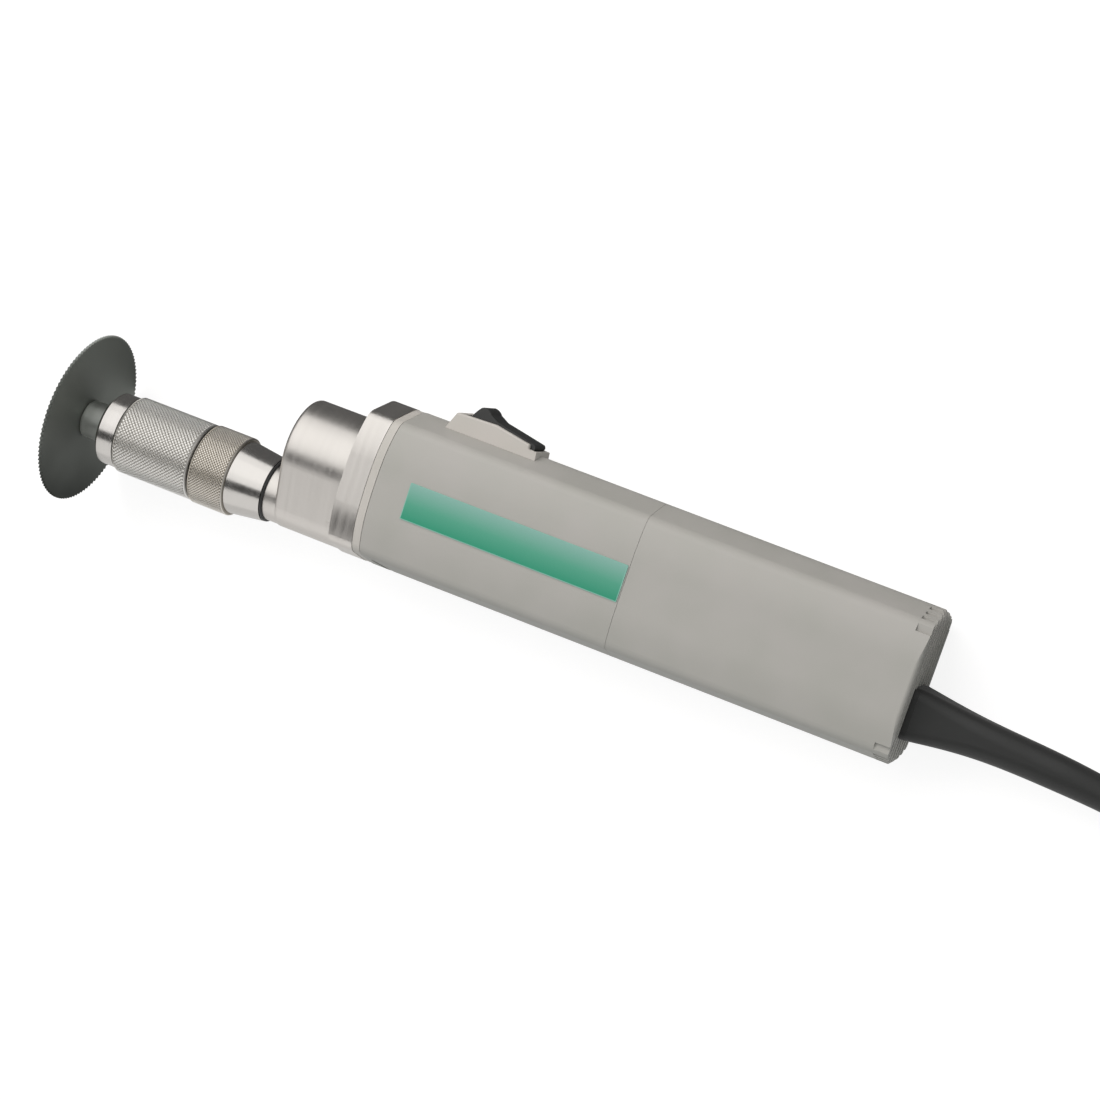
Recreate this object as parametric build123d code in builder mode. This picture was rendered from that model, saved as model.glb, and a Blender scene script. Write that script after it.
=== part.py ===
from build123d import *
from math import acos, atan2, cos, degrees, hypot, pi, radians, sin, tan
import os

# A mains cast saw that lies on its side, label up. Along the tool, x runs from the blade to the rear,
# height runs from the spindle axis toward the switch, and side runs toward the face that lies down.

# Blade and its fastening
blade_diameter = 65.0
blade_thickness = 1.0
tooth_count = 112
tooth_height = 0.9
arbor_flats = 8.0
washer_diameter = 18.0
washer_thickness = 2.0
blade_screw_diameter = 4.0
blade_screw_head = 7.5
blade_screw_head_height = 4.0
blade_screw_reach = 12.0
screw_socket_flats = 3.0

# Spindle
hub_diameter = 14.3
hub_length = 11.5
spindle_diameter = 10.0
fork_seat_diameter = 8.0
fork_pin_diameter = 2.5

# Nose, by stations along the tool
nose_tube_diameter = 22.0
nose_bore_diameter = 15.2
ring_front = 11.1
ring_diameter = 27.7
ring_length = 7.9
grip_diameter = 29.5
grip_length = 32.5
lock_ring_diameter = 30.3
lock_ring_length = 15.0
lock_ring_gap = 0.9
taper_front_diameter = 28.0
taper_rear_diameter = 24.4
taper_length = 13.8
seal_thickness = 1.0
bush_length = 12.0
spigot_diameter = 18.0

# Gearcase
boss_diameter = 23.0
boss_length = 4.4
dome_diameter = 36.5
dome_height = 19.1
gearcase_length = 25.9
gearcase_wall = 3.0
gearcase_rounding = 1.8
flange_thickness = 9.5

# Drive between the motor and the spindle
motor_height = 17.2
crank_throw = 0.8
crank_pin_diameter = 5.0
crank_bearing_diameter = 9.0
crank_bearing_width = 7.0
fork_width = 9.0
fork_clearance = 2.0
fork_arm = 3.0
counterweight_radius = 10.0
counterweight_thickness = 4.0

# Housing section: slightly full sides with a flat centre band, and shallow bevels up to a ridge
half_width = 20.5
half_height = 29.7
shoulder_drop = 2.5
bevel_rise = 5.1
flat_band = 9.0
corner_radius = 5.0
ridge_radius = 14.0
moulding_draft = 0.8
housing_wall = 2.5
rear_edge_radius = 1.5
tail_radius = 3.5
rear_wall = 3.0
seam_bow_radius = 200.0
bezel_thickness = 3.0
front_housing_length = 98.4
rear_housing_length = 105.33
tongue_length = 8.0
tongue_thickness = 1.1
post_diameter = 8.0

# Motor
motor_shaft_diameter = 8.0
rear_journal_diameter = 6.0
front_bearing_diameter = 22.0
front_bearing_width = 7.0
rear_bearing_diameter = 19.0
rear_bearing_width = 6.0
bearing_plate_thickness = 10.0
fan_diameter = 32.0
fan_width = 10.0
fan_blades = 9
fan_gap = 3.0
core_diameter = 23.0
core_length = 40.0
core_station = 182.0
slot_count = 12
stator_corner = 10.0
air_gap = 0.5
coil_end = 6.0
commutator_diameter = 15.0
commutator_length = 11.0
brush_size = 6.0

# Switch
rocker_station = 159.5
rocker_pivot_depth = 1.9
rocker_rise = 11.0
rocker_reach = 14.1
rocker_width = 11.4
rocker_pin_diameter = 2.5
surround_width = 15.2
surround_rise = 4.4
surround_edge = 0.7
module_length = 24.0
module_width = 13.0
module_depth = 12.0

# Label, louvres and air outlet
label_front = 138.6
label_length = 85.0
label_width = 13.5
label_thickness = 0.35
label_corner = 0.4
louvre_count = 9
louvre_pitch = 4.65
louvre_width = 2.6
louvre_depth = 1.2
louvre_wrap = 5.4
louvre_start = 20.6
outlet_station = 136.4
outlet_spread = 11.0
outlet_sweep = 5.4
outlet_width = 2.6

# Inside the rear housing
shelf_length = 30.0
shelf_thickness = 2.0
capacitor_width = 24.0
capacitor_depth = 13.0
capacitor_length = 26.0
terminal_width = 26.0
terminal_depth = 14.0
terminal_length = 16.0
clamp_width = 28.0
clamp_depth = 15.0
clamp_length = 8.0
clamp_screw_side = 10.0
clamp_screw_diameter = 3.0

# Mains lead
cord_diameter = 8.0
boot_root = 18.8
boot_root_corner = 3.5
boot_end_diameter = 12.0
boot_height = 8.6
coil_middle_radius = 46.0
coil_columns = 4
coil_layers = 2

# Clearances
running_fit = 0.05
seat_fit = 0.05
seam_gap = 0.25
shell_gap = 0.12
shadow_gap = 0.1
loose_fit = 0.3

# Stations along the tool that follow from the sizes above
blade_front = -blade_thickness / 2
blade_rear = blade_thickness / 2
hub_rear = blade_rear + hub_length
ring_rear = ring_front + ring_length
tube_front = ring_front + 2.5
grip_rear = ring_rear + grip_length
lock_front = grip_rear + lock_ring_gap
lock_rear = lock_front + lock_ring_length
taper_front = lock_rear + shadow_gap
taper_rear = taper_front + taper_length
boss_front = taper_rear + seal_thickness + 2 * shadow_gap
gear_front = boss_front + boss_length
flange_front = gear_front + gearcase_length
flange_rear = flange_front + flange_thickness
bezel_front = flange_rear + shadow_gap
bezel_rear = bezel_front + bezel_thickness
housing_front = bezel_rear + seam_gap
seam = housing_front + front_housing_length
rear_front = seam + shell_gap
rear_face = rear_front + rear_housing_length
fork_front = gear_front + 5.1
fork_rear = fork_front + fork_width
crank_front = fork_front + 1.0
crank_rear = crank_front + crank_bearing_width
shaft_front = crank_rear + 2.5
plate_rear = flange_rear - 0.5
plate_front = plate_rear - bearing_plate_thickness
fan_front = bezel_rear + fan_gap
core_rear = core_station + core_length
commutator_front = core_rear + coil_end + 4.0
commutator_rear = commutator_front + commutator_length
brush_station = (commutator_front + commutator_rear) / 2
rear_bearing_front = commutator_rear + 4.0
rear_bearing_rear = rear_bearing_front + rear_bearing_width
stator_half_width = half_width - housing_wall - moulding_draft / 2 - loose_fit
stator_height = 2 * (half_height - housing_wall - bevel_rise - shadow_gap)

# The saw rests on its blade's rim and on the rear edge of the side that lies down
blade_radius = blade_diameter / 2
rear_half_width = half_width - moulding_draft
drop = blade_radius - rear_half_width + rear_edge_radius
run = rear_face - rear_edge_radius - blade_rear
tilt = acos(rear_edge_radius / hypot(drop, run)) - atan2(run, drop)
axis_lift = blade_radius * cos(tilt) + blade_rear * sin(tilt)
nose_tip = blade_front - washer_thickness - blade_screw_head_height
rocker_pivot_height = motor_height + half_height - rocker_pivot_depth
rocker_top = rocker_pivot_height + rocker_rise
reach_front = nose_tip * cos(tilt) - blade_screw_head / 2 * sin(tilt)
reach_rear = (rear_face - rear_edge_radius) * cos(tilt) + rear_edge_radius
reach_rear += (rear_half_width - rear_edge_radius) * sin(tilt)
middle_x = (reach_front + reach_rear) / 2
middle_y = (rocker_top - blade_radius) / 2

tool = Plane(origin=(-middle_x, -middle_y, axis_lift), x_dir=(cos(tilt), 0, -sin(tilt)), z_dir=(0, 1, 0))
spindle_axis = Axis(tool.origin, tool.x_dir)


def station(x, height=0.0):
    # A plane across the tool: its x runs toward the lower side, its y toward the switch
    return Plane(origin=tool.from_local_coords((x, 0, height)), x_dir=tool.y_dir, z_dir=tool.x_dir)


def lengthwise(side=0.0):
    # A plane along the tool, seen from the label side: its x runs to the rear, its y toward the switch
    return Plane(origin=tool.from_local_coords((0, side, 0)), x_dir=tool.x_dir, z_dir=-tool.y_dir)


def turn(outline, height=0.0, mode=Mode.ADD):
    # A turned form from its (station, radius) outline
    with BuildSketch(lengthwise()) as profile:
        with BuildLine():
            Polyline(*[(x, height + radius) for x, radius in outline], close=True)
        make_face()
    centre = Axis(tool.from_local_coords((0, 0, height)), tool.x_dir)
    revolve(profile.sketch, axis=centre, mode=mode)


def ring(front, rear, bore, diameter, height=0.0, mode=Mode.ADD):
    inner = bore / 2
    outer = diameter / 2
    turn([(front, inner), (rear, inner), (rear, outer), (front, outer)], height, mode)


def rod(front, rear, diameter, height=0.0, side=0.0, mode=Mode.ADD):
    with BuildSketch(station(front)) as profile:
        with Locations((side, height)):
            Circle(diameter / 2)
    extrude(profile.sketch, amount=rear - front, mode=mode)


def housing_section(x, inset=0.0):
    # The roofed section, which shrinks toward the rear by the moulding draft
    shrink = moulding_draft * (x - flange_front) / (rear_face - flange_front) + inset
    width = half_width - shrink
    height = half_height - shrink
    edge = (width - shoulder_drop, height - bevel_rise)
    with BuildSketch(station(x, motor_height)) as section:
        with BuildLine():
            Line((0, height), edge)
            TangentArc((width, flat_band), edge, tangent=(0, 1))
            Line((width, flat_band), (width, 0))
            mirror(about=Plane.YZ)
            mirror(about=Plane.XZ)
        make_face()
        corners = section.vertices().filter_by(lambda v: abs(abs(v.Y) - edge[1]) < 0.1)
        fillet(corners, radius=corner_radius - inset)
        ridges = section.vertices().filter_by(lambda v: abs(abs(v.Y) - height) < 0.1)
        fillet(ridges, radius=ridge_radius - inset)
    return section.sketch


def housing_prism(front, rear, inset=0.0, mode=Mode.ADD):
    loft([housing_section(front, inset), housing_section(rear, inset)], ruled=True, mode=mode)


def keep_between(front, rear, front_bowed=True, rear_bowed=True):
    # Trims a piece to bowed end faces, whose middles stand furthest forward
    tall = half_height + 5
    bow = seam_bow_radius - (seam_bow_radius**2 - tall**2) ** 0.5
    front_bow = bow if front_bowed else 0.0
    rear_bow = bow if rear_bowed else 0.0
    low = motor_height - tall
    high = motor_height + tall
    with BuildSketch(lengthwise()) as profile:
        with BuildLine():
            if front_bowed:
                ThreePointArc((front + front_bow, low), (front, motor_height), (front + front_bow, high))
            else:
                Line((front, low), (front, high))
            Line((front + front_bow, high), (rear + rear_bow, high))
            if rear_bowed:
                ThreePointArc((rear + rear_bow, low), (rear, motor_height), (rear + rear_bow, high))
            else:
                Line((rear, low), (rear, high))
            Line((front + front_bow, low), (rear + rear_bow, low))
        make_face()
    extrude(profile.sketch, amount=half_width + 5, both=True, mode=Mode.INTERSECT)


def gear_outline(x, inset=0.0):
    # The egg-shaped hull of the motor dome and the spindle boss
    with BuildSketch(station(x)) as profile:
        with Locations((0, dome_height)):
            Circle(dome_diameter / 2 - inset)
        Circle(boss_diameter / 2 - inset)
        make_hull()
    return profile.sketch


# Saw blade with its fine teeth and hexagonal arbor hole
with BuildPart() as blade:
    with BuildSketch(station(blade_front)):
        with BuildLine():
            rim = []
            for step in range(2 * tooth_count):
                angle = pi * step / tooth_count
                radius = blade_radius - tooth_height * (step % 2)
                rim.append((radius * cos(angle), radius * sin(angle)))
            Polyline(*rim, close=True)
        make_face()
        RegularPolygon(arbor_flats / 2 + seat_fit, 6, major_radius=False, mode=Mode.SUBTRACT)
    extrude(amount=blade_thickness)
blade.part.label = "blade"
os.makedirs("parts", exist_ok=True)
export_step(blade.part, "parts/blade.step")

# Spindle: hexagonal arbor, visible hub, long journal and the seat of the fork
with BuildPart() as spindle:
    hub = hub_diameter / 2
    journal = spindle_diameter / 2
    seat = fork_seat_diameter / 2
    turn([
        (blade_rear, 0), (blade_rear, hub - 0.6), (blade_rear + 0.6, hub), (hub_rear, hub), (hub_rear, journal),
        (fork_front - 0.4, journal), (fork_front - 0.4, seat), (fork_rear, seat), (fork_rear, 0),
    ])
    with BuildSketch(station(blade_front)):
        RegularPolygon(arbor_flats / 2, 6, major_radius=False)
    extrude(amount=blade_thickness)
    screw_hole = blade_screw_diameter + 2 * seat_fit
    rod(blade_front, blade_front + blade_screw_reach + 1, screw_hole, mode=Mode.SUBTRACT)
    with BuildSketch(Plane(origin=tool.from_local_coords((0, 0, 0)), x_dir=tool.x_dir, z_dir=tool.y_dir)):
        with Locations(((fork_front + fork_rear) / 2, 0)):
            Circle(fork_pin_diameter / 2 + seat_fit)
    extrude(amount=seat + 1, both=True, mode=Mode.SUBTRACT)
spindle.part.label = "spindle"
export_step(spindle.part, "parts/spindle.step")

# Clamp washer in front of the blade
washer_front = blade_front - washer_thickness
with BuildPart() as clamp_washer:
    ring(washer_front, blade_front, blade_screw_diameter + 2 * seat_fit, washer_diameter)
    rim_edges = clamp_washer.edges().filter_by(GeomType.CIRCLE).sort_by(SortBy.RADIUS)[-2:]
    chamfer(rim_edges, length=0.4)
clamp_washer.part.label = "clamp_washer"
export_step(clamp_washer.part, "parts/clamp_washer.step")

# Blade screw with a hexagonal socket
with BuildPart() as blade_screw:
    rod(nose_tip, washer_front, blade_screw_head)
    rod(washer_front, blade_front + blade_screw_reach, blade_screw_diameter)
    with BuildSketch(station(nose_tip)):
        RegularPolygon(screw_socket_flats / 2, 6, major_radius=False)
    extrude(amount=blade_screw_head_height * 0.6, mode=Mode.SUBTRACT)
blade_screw.part.label = "blade_screw"
export_step(blade_screw.part, "parts/blade_screw.step")

# Polished ring at the tip of the nose
with BuildPart() as nose_ring:
    outer = ring_diameter / 2
    bore = hub_diameter / 2 + loose_fit
    socket = nose_tube_diameter / 2 + seat_fit
    turn([
        (ring_front, bore), (tube_front - shadow_gap, bore), (tube_front - shadow_gap, socket), (ring_rear, socket),
        (ring_rear, outer), (ring_front + 1.4, outer), (ring_front, outer - 1.4),
    ])
nose_ring.part.label = "nose_ring"
export_step(nose_ring.part, "parts/nose_ring.step")

# Nose tube that carries the sleeves outside and the bushes inside, with a spigot in the gearcase boss
spigot_rear = gear_front + gearcase_wall + 0.5
with BuildPart() as nose_tube:
    outer = nose_tube_diameter / 2
    spigot = spigot_diameter / 2
    bore = nose_bore_diameter / 2
    shoulder = boss_front - shadow_gap
    turn([
        (tube_front, bore), (tube_front, outer - 0.5), (tube_front + 0.5, outer), (shoulder, outer),
        (shoulder, spigot), (spigot_rear, spigot), (spigot_rear, bore),
    ])
nose_tube.part.label = "nose_tube"
export_step(nose_tube.part, "parts/nose_tube.step")

# Bushes in which the spindle swings
front_bush_front = tube_front + 0.6
with BuildPart() as front_bush:
    ring(front_bush_front, front_bush_front + bush_length, spindle_diameter + 2 * running_fit,
         nose_bore_diameter - 2 * seat_fit)
front_bush.part.label = "front_bush"
export_step(front_bush.part, "parts/front_bush.step")

rear_bush_rear = spigot_rear - 0.6
with BuildPart() as rear_bush:
    ring(rear_bush_rear - bush_length, rear_bush_rear, spindle_diameter + 2 * running_fit,
         nose_bore_diameter - 2 * seat_fit)
rear_bush.part.label = "rear_bush"
export_step(rear_bush.part, "parts/rear_bush.step")

# Knurled grip sleeve with a chamfer at each end
sleeve_bore = nose_tube_diameter / 2 + seat_fit
with BuildPart() as grip_sleeve:
    outer = grip_diameter / 2
    front = ring_rear + shadow_gap
    turn([
        (front, sleeve_bore), (grip_rear, sleeve_bore), (grip_rear, outer - 1.0), (grip_rear - 1.0, outer),
        (front + 1.6, outer), (front, outer - 1.0),
    ])
grip_sleeve.part.label = "grip_sleeve"
export_step(grip_sleeve.part, "parts/grip_sleeve.step")

# Knurled locking ring, which turns on the nose tube
with BuildPart() as lock_ring:
    outer = lock_ring_diameter / 2
    bore = nose_tube_diameter / 2 + 2 * running_fit
    turn([
        (lock_front, bore), (lock_rear, bore), (lock_rear, outer - 1.1), (lock_rear - 0.9, outer),
        (lock_front + 0.6, outer), (lock_front, outer - 0.8),
    ])
lock_ring.part.label = "lock_ring"
export_step(lock_ring.part, "parts/lock_ring.step")

# Turned taper collar behind the locking ring
with BuildPart() as taper_collar:
    turn([
        (taper_front, sleeve_bore), (taper_rear, sleeve_bore), (taper_rear, taper_rear_diameter / 2),
        (taper_front, taper_front_diameter / 2),
    ])
taper_collar.part.label = "taper_collar"
export_step(taper_collar.part, "parts/taper_collar.step")

# Black seal ring between the collar and the gearcase
with BuildPart() as seal_ring:
    middle = taper_rear + shadow_gap + seal_thickness / 2
    with BuildSketch(lengthwise()):
        with Locations((middle, sleeve_bore + seal_thickness / 2)):
            Circle(seal_thickness / 2)
    revolve(axis=spindle_axis)
seal_ring.part.label = "seal_ring"
export_step(seal_ring.part, "parts/seal_ring.step")

# Screws that hold the flange, the bezel and the front housing together
flange_screw_places = [(0.0, 42.4), (14.6, -3.0), (-14.6, -3.0)]
flange_screw_diameter = 3.0
flange_screw_head = 5.5
flange_screw_seat = flange_front + 5.5
flange_screw_rear = bezel_rear + 12.0

# Flange blank, to the housing's outline with bowed faces
with BuildPart() as flange_blank:
    housing_prism(flange_front - 2, flange_rear + 8)
    keep_between(flange_front, flange_rear)

# Gearcase casting: egg-shaped case, spindle boss and flange, hollow for the drive
with BuildPart() as gearcase:
    extrude(gear_outline(gear_front), amount=gearcase_length + 3)
    front_edges = gearcase.faces().sort_by(spindle_axis)[0].edges()
    fillet(front_edges, radius=gearcase_rounding)
    rod(boss_front, gear_front + 2, boss_diameter - 0.6)
    add(flange_blank.part)
    cavity = gear_outline(gear_front + gearcase_wall, gearcase_wall)
    extrude(cavity, amount=gearcase_length + flange_thickness + 10, mode=Mode.SUBTRACT)
    rod(boss_front - 1, gear_front + gearcase_wall + 1, spigot_diameter + 2 * seat_fit, mode=Mode.SUBTRACT)
    for side, height in flange_screw_places:
        rod(flange_front - 4, flange_screw_seat, flange_screw_head + 1.0, height, side, Mode.SUBTRACT)
        rod(flange_screw_seat, flange_rear + 6, flange_screw_diameter + 0.4, height, side, Mode.SUBTRACT)
gearcase.part.label = "gearcase"
export_step(gearcase.part, "parts/gearcase.step")

# Flange screws
with BuildPart() as flange_screws:
    for side, height in flange_screw_places:
        rod(flange_screw_seat - 3.0, flange_screw_seat, flange_screw_head, height, side)
        rod(flange_screw_seat, flange_screw_rear, flange_screw_diameter, height, side)
    with BuildSketch(station(flange_screw_seat - 3.0)):
        with Locations(*flange_screw_places):
            RegularPolygon(1.25, 6, major_radius=False)
    extrude(amount=1.8, mode=Mode.SUBTRACT)
flange_screws.part.label = "flange_screws"
export_step(flange_screws.part, "parts/flange_screws.step")

# Drive fork on the spindle, whose slot takes the crank bearing
slot_half = crank_bearing_diameter / 2 + fork_clearance
fork_half = slot_half + fork_arm
fork_top = motor_height + 3.0
with BuildPart() as drive_fork:
    with BuildSketch(station(fork_front)):
        Circle(fork_seat_diameter / 2 + 3.4)
        with Locations((0, fork_top - 4)):
            Rectangle(2 * fork_half, 8)
        make_hull()
        Circle(fork_seat_diameter / 2 + seat_fit, mode=Mode.SUBTRACT)
        with Locations((0, fork_top)):
            SlotCenterToCenter(2 * (fork_top - motor_height), 2 * slot_half, rotation=90, mode=Mode.SUBTRACT)
    extrude(amount=fork_width)
    with BuildSketch(Plane(origin=tool.from_local_coords((0, 0, 0)), x_dir=tool.x_dir, z_dir=tool.y_dir)):
        with Locations(((fork_front + fork_rear) / 2, 0)):
            Circle(fork_pin_diameter / 2 + seat_fit)
    extrude(amount=fork_half + 1, both=True, mode=Mode.SUBTRACT)
drive_fork.part.label = "drive_fork"
export_step(drive_fork.part, "parts/drive_fork.step")

# Cross pin that locks the fork to the spindle
with BuildPart() as fork_pin:
    with BuildSketch(Plane(origin=tool.from_local_coords((0, 0, 0)), x_dir=tool.x_dir, z_dir=tool.y_dir)):
        with Locations(((fork_front + fork_rear) / 2, 0)):
            Circle(fork_pin_diameter / 2)
    extrude(amount=fork_seat_diameter / 2 + 3.0, both=True)
fork_pin.part.label = "fork_pin"
export_step(fork_pin.part, "parts/fork_pin.step")

# Motor shaft with its crank pin
crank_height = motor_height + crank_throw
with BuildPart() as motor_shaft:
    rod(shaft_front, rear_bearing_front, motor_shaft_diameter, motor_height)
    rod(rear_bearing_front, rear_bearing_rear + 1, rear_journal_diameter, motor_height)
    rod(crank_front - 0.8, shaft_front, crank_pin_diameter, crank_height)
motor_shaft.part.label = "motor_shaft"
export_step(motor_shaft.part, "parts/motor_shaft.step")

# Small bearing on the crank pin
with BuildPart() as crank_bearing:
    ring(crank_front, crank_rear, crank_pin_diameter + 2 * seat_fit, crank_bearing_diameter, crank_height)
crank_bearing.part.label = "crank_bearing"
export_step(crank_bearing.part, "parts/crank_bearing.step")

# Counterweight opposite the crank
with BuildPart() as counterweight:
    with BuildSketch(station(shaft_front + 0.5, motor_height)):
        Circle(counterweight_radius)
        with Locations((0, counterweight_radius)):
            Rectangle(3 * counterweight_radius, 2 * counterweight_radius - 2, mode=Mode.SUBTRACT)
        Circle(motor_shaft_diameter / 2 + 2.0)
        Circle(motor_shaft_diameter / 2 + seat_fit, mode=Mode.SUBTRACT)
    extrude(amount=counterweight_thickness)
counterweight.part.label = "counterweight"
export_step(counterweight.part, "parts/counterweight.step")

# Plate that closes the gearcase and holds the front motor bearing
bearing_seat = front_bearing_diameter + 2 * seat_fit
with BuildPart() as bearing_plate:
    extrude(gear_outline(plate_front, gearcase_wall + shadow_gap), amount=bearing_plate_thickness)
    rod(plate_front, plate_rear, motor_shaft_diameter + 4, motor_height, mode=Mode.SUBTRACT)
    rod(plate_rear - front_bearing_width - 0.5, plate_rear, bearing_seat, motor_height, mode=Mode.SUBTRACT)
bearing_plate.part.label = "bearing_plate"
export_step(bearing_plate.part, "parts/bearing_plate.step")


def ball_bearing(front, width, bore, diameter):
    # Two rings with a shield set back between them, drawn as one turned solid
    inner = bore / 2
    outer = diameter / 2
    wall = (outer - inner) / 4
    turn([
        (front, inner), (front, inner + wall), (front + 0.4, inner + wall), (front + 0.4, outer - wall),
        (front, outer - wall), (front, outer), (front + width, outer), (front + width, outer - wall),
        (front + width - 0.4, outer - wall), (front + width - 0.4, inner + wall),
        (front + width, inner + wall), (front + width, inner),
    ], motor_height)


front_bearing_front = plate_rear - front_bearing_width
with BuildPart() as front_bearing:
    ball_bearing(front_bearing_front, front_bearing_width, motor_shaft_diameter + 2 * running_fit,
                 front_bearing_diameter)
front_bearing.part.label = "front_bearing"
export_step(front_bearing.part, "parts/front_bearing.step")

with BuildPart() as rear_bearing:
    ball_bearing(rear_bearing_front, rear_bearing_width, rear_journal_diameter + 2 * running_fit,
                 rear_bearing_diameter)
rear_bearing.part.label = "rear_bearing"
export_step(rear_bearing.part, "parts/rear_bearing.step")

# Cooling fan with a back disc and radial blades
with BuildPart() as fan:
    disc_front = fan_front + fan_width - 1.5
    ring(fan_front, fan_front + fan_width, motor_shaft_diameter + 2 * seat_fit, 14.0, motor_height)
    ring(disc_front, fan_front + fan_width, motor_shaft_diameter + 2 * seat_fit, fan_diameter, motor_height)
    with BuildSketch(station(fan_front, motor_height)):
        with PolarLocations(11.0, fan_blades):
            Rectangle(fan_diameter / 2 - 6.5, 1.2)
    extrude(amount=fan_width)
fan.part.label = "fan"
export_step(fan.part, "parts/fan.step")

# Armature: slotted core, windings and commutator
slot_radius = core_diameter / 2 - 2.9
slot_diameter = 2.6
with BuildPart() as armature_core:
    with BuildSketch(station(core_station, motor_height)):
        Circle(core_diameter / 2)
        Circle(motor_shaft_diameter / 2 + seat_fit, mode=Mode.SUBTRACT)
        with PolarLocations(slot_radius, slot_count):
            Circle(slot_diameter / 2, mode=Mode.SUBTRACT)
        with PolarLocations(core_diameter / 2 - 0.8, slot_count):
            Rectangle(3.2, 1.0, mode=Mode.SUBTRACT)
    extrude(amount=core_length)
armature_core.part.label = "armature_core"
export_step(armature_core.part, "parts/armature_core.step")

with BuildPart() as armature_windings:
    winding_outer = slot_radius + slot_diameter / 2 + 0.2
    winding_inner = motor_shaft_diameter / 2 + 1.0
    front = core_station - coil_end
    turn([
        (front + 1.5, winding_inner), (core_station - shadow_gap, winding_inner),
        (core_station - shadow_gap, winding_outer), (front + 1.5, winding_outer), (front, winding_outer - 1.5),
        (front, winding_inner + 1.5),
    ], motor_height)
    rear = core_rear + coil_end
    turn([
        (rear - 1.5, winding_inner), (core_rear + shadow_gap, winding_inner),
        (core_rear + shadow_gap, winding_outer), (rear - 1.5, winding_outer), (rear, winding_outer - 1.5),
        (rear, winding_inner + 1.5),
    ], motor_height)
    with BuildSketch(station(core_station - 1, motor_height)):
        with PolarLocations(slot_radius, slot_count):
            Circle(slot_diameter / 2 - shadow_gap)
    extrude(amount=core_length + 2)
armature_windings.part.label = "armature_windings"
export_step(armature_windings.part, "parts/armature_windings.step")

with BuildPart() as commutator:
    with BuildSketch(station(commutator_front, motor_height)):
        Circle(commutator_diameter / 2)
        Circle(motor_shaft_diameter / 2 + seat_fit, mode=Mode.SUBTRACT)
        with PolarLocations(commutator_diameter / 2, 2 * slot_count):
            Rectangle(1.2, 0.5, mode=Mode.SUBTRACT)
    extrude(amount=commutator_length)
    ring(commutator_front, commutator_front + 1.5, motor_shaft_diameter + 2 * seat_fit,
         commutator_diameter + 2.0, motor_height)
commutator.part.label = "commutator"
export_step(commutator.part, "parts/commutator.step")

# Stator core with two windows, and the saddle coils that pass through them
stator_bore = core_diameter / 2 + air_gap
window_radius = stator_bore + 5.2
window_half = 8.5
with BuildPart() as stator_core:
    with BuildSketch(station(core_station, motor_height)):
        RectangleRounded(2 * stator_half_width, stator_height, stator_corner)
        Circle(stator_bore, mode=Mode.SUBTRACT)
    extrude(amount=core_length)
    with BuildSketch(station(core_station, motor_height)):
        Circle(window_radius)
        Rectangle(2 * window_half, 3 * window_radius, mode=Mode.INTERSECT)
    extrude(amount=core_length, mode=Mode.SUBTRACT)
stator_core.part.label = "stator_core"
export_step(stator_core.part, "parts/stator_core.step")

coil_inner = stator_bore + 0.6
coil_outer = window_radius - 0.2
with BuildPart() as field_coils:
    with BuildSketch(station(core_station - coil_end, motor_height)):
        Circle(coil_outer)
        Circle(coil_inner, mode=Mode.SUBTRACT)
        Rectangle(0.8, 3 * coil_outer, mode=Mode.SUBTRACT)
    extrude(amount=coil_end - shadow_gap)
    with BuildSketch(station(core_rear + shadow_gap, motor_height)):
        Circle(coil_outer)
        Circle(coil_inner, mode=Mode.SUBTRACT)
        Rectangle(0.8, 3 * coil_outer, mode=Mode.SUBTRACT)
    extrude(amount=coil_end - shadow_gap)
    with BuildSketch(station(core_station - 1, motor_height)):
        Circle(coil_outer)
        Circle(coil_inner, mode=Mode.SUBTRACT)
        Rectangle(2 * window_half - 0.4, 3 * coil_outer, mode=Mode.INTERSECT)
        Rectangle(0.8, 3 * coil_outer, mode=Mode.SUBTRACT)
    extrude(amount=core_length + 2)
field_coils.part.label = "field_coils"
export_step(field_coils.part, "parts/field_coils.step")

# Frame that holds the brushes and the rear bearing, and what it holds
frame_front = commutator_front - 0.5
frame_half_height = half_height - housing_wall - moulding_draft - bevel_rise
holder_size = brush_size + 1.6
holder_inner = commutator_diameter / 2 + 1.5
holder_outer = frame_half_height - 0.5
rear_cup = rear_bearing_diameter + 2 * seat_fit
with BuildPart() as brush_frame:
    with BuildSketch(station(frame_front, motor_height)):
        RectangleRounded(2 * stator_half_width - 2.0, 2 * frame_half_height, 8.0)
        Circle(commutator_diameter / 2 + 2.0, mode=Mode.SUBTRACT)
    extrude(amount=commutator_length + 1.0)
    ring(frame_front + commutator_length + 1.0, rear_bearing_rear, rear_cup, rear_cup + 6.0, motor_height)
    ring(frame_front + commutator_length + 1.0, rear_bearing_front, rear_journal_diameter + 6.0, rear_cup + 6.0,
         motor_height)
    with BuildSketch(Plane(origin=tool.from_local_coords((brush_station, 0, motor_height)),
                           x_dir=tool.x_dir, z_dir=tool.z_dir)):
        Rectangle(holder_size + 0.2, holder_size + 0.2)
    extrude(amount=frame_half_height + 1, both=True, mode=Mode.SUBTRACT)
brush_frame.part.label = "brush_frame"
export_step(brush_frame.part, "parts/brush_frame.step")


def across_motor(height):
    # A plane that faces the switch, at the brushes
    return Plane(origin=tool.from_local_coords((brush_station, 0, motor_height + height)),
                 x_dir=tool.x_dir, z_dir=tool.z_dir)


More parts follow.
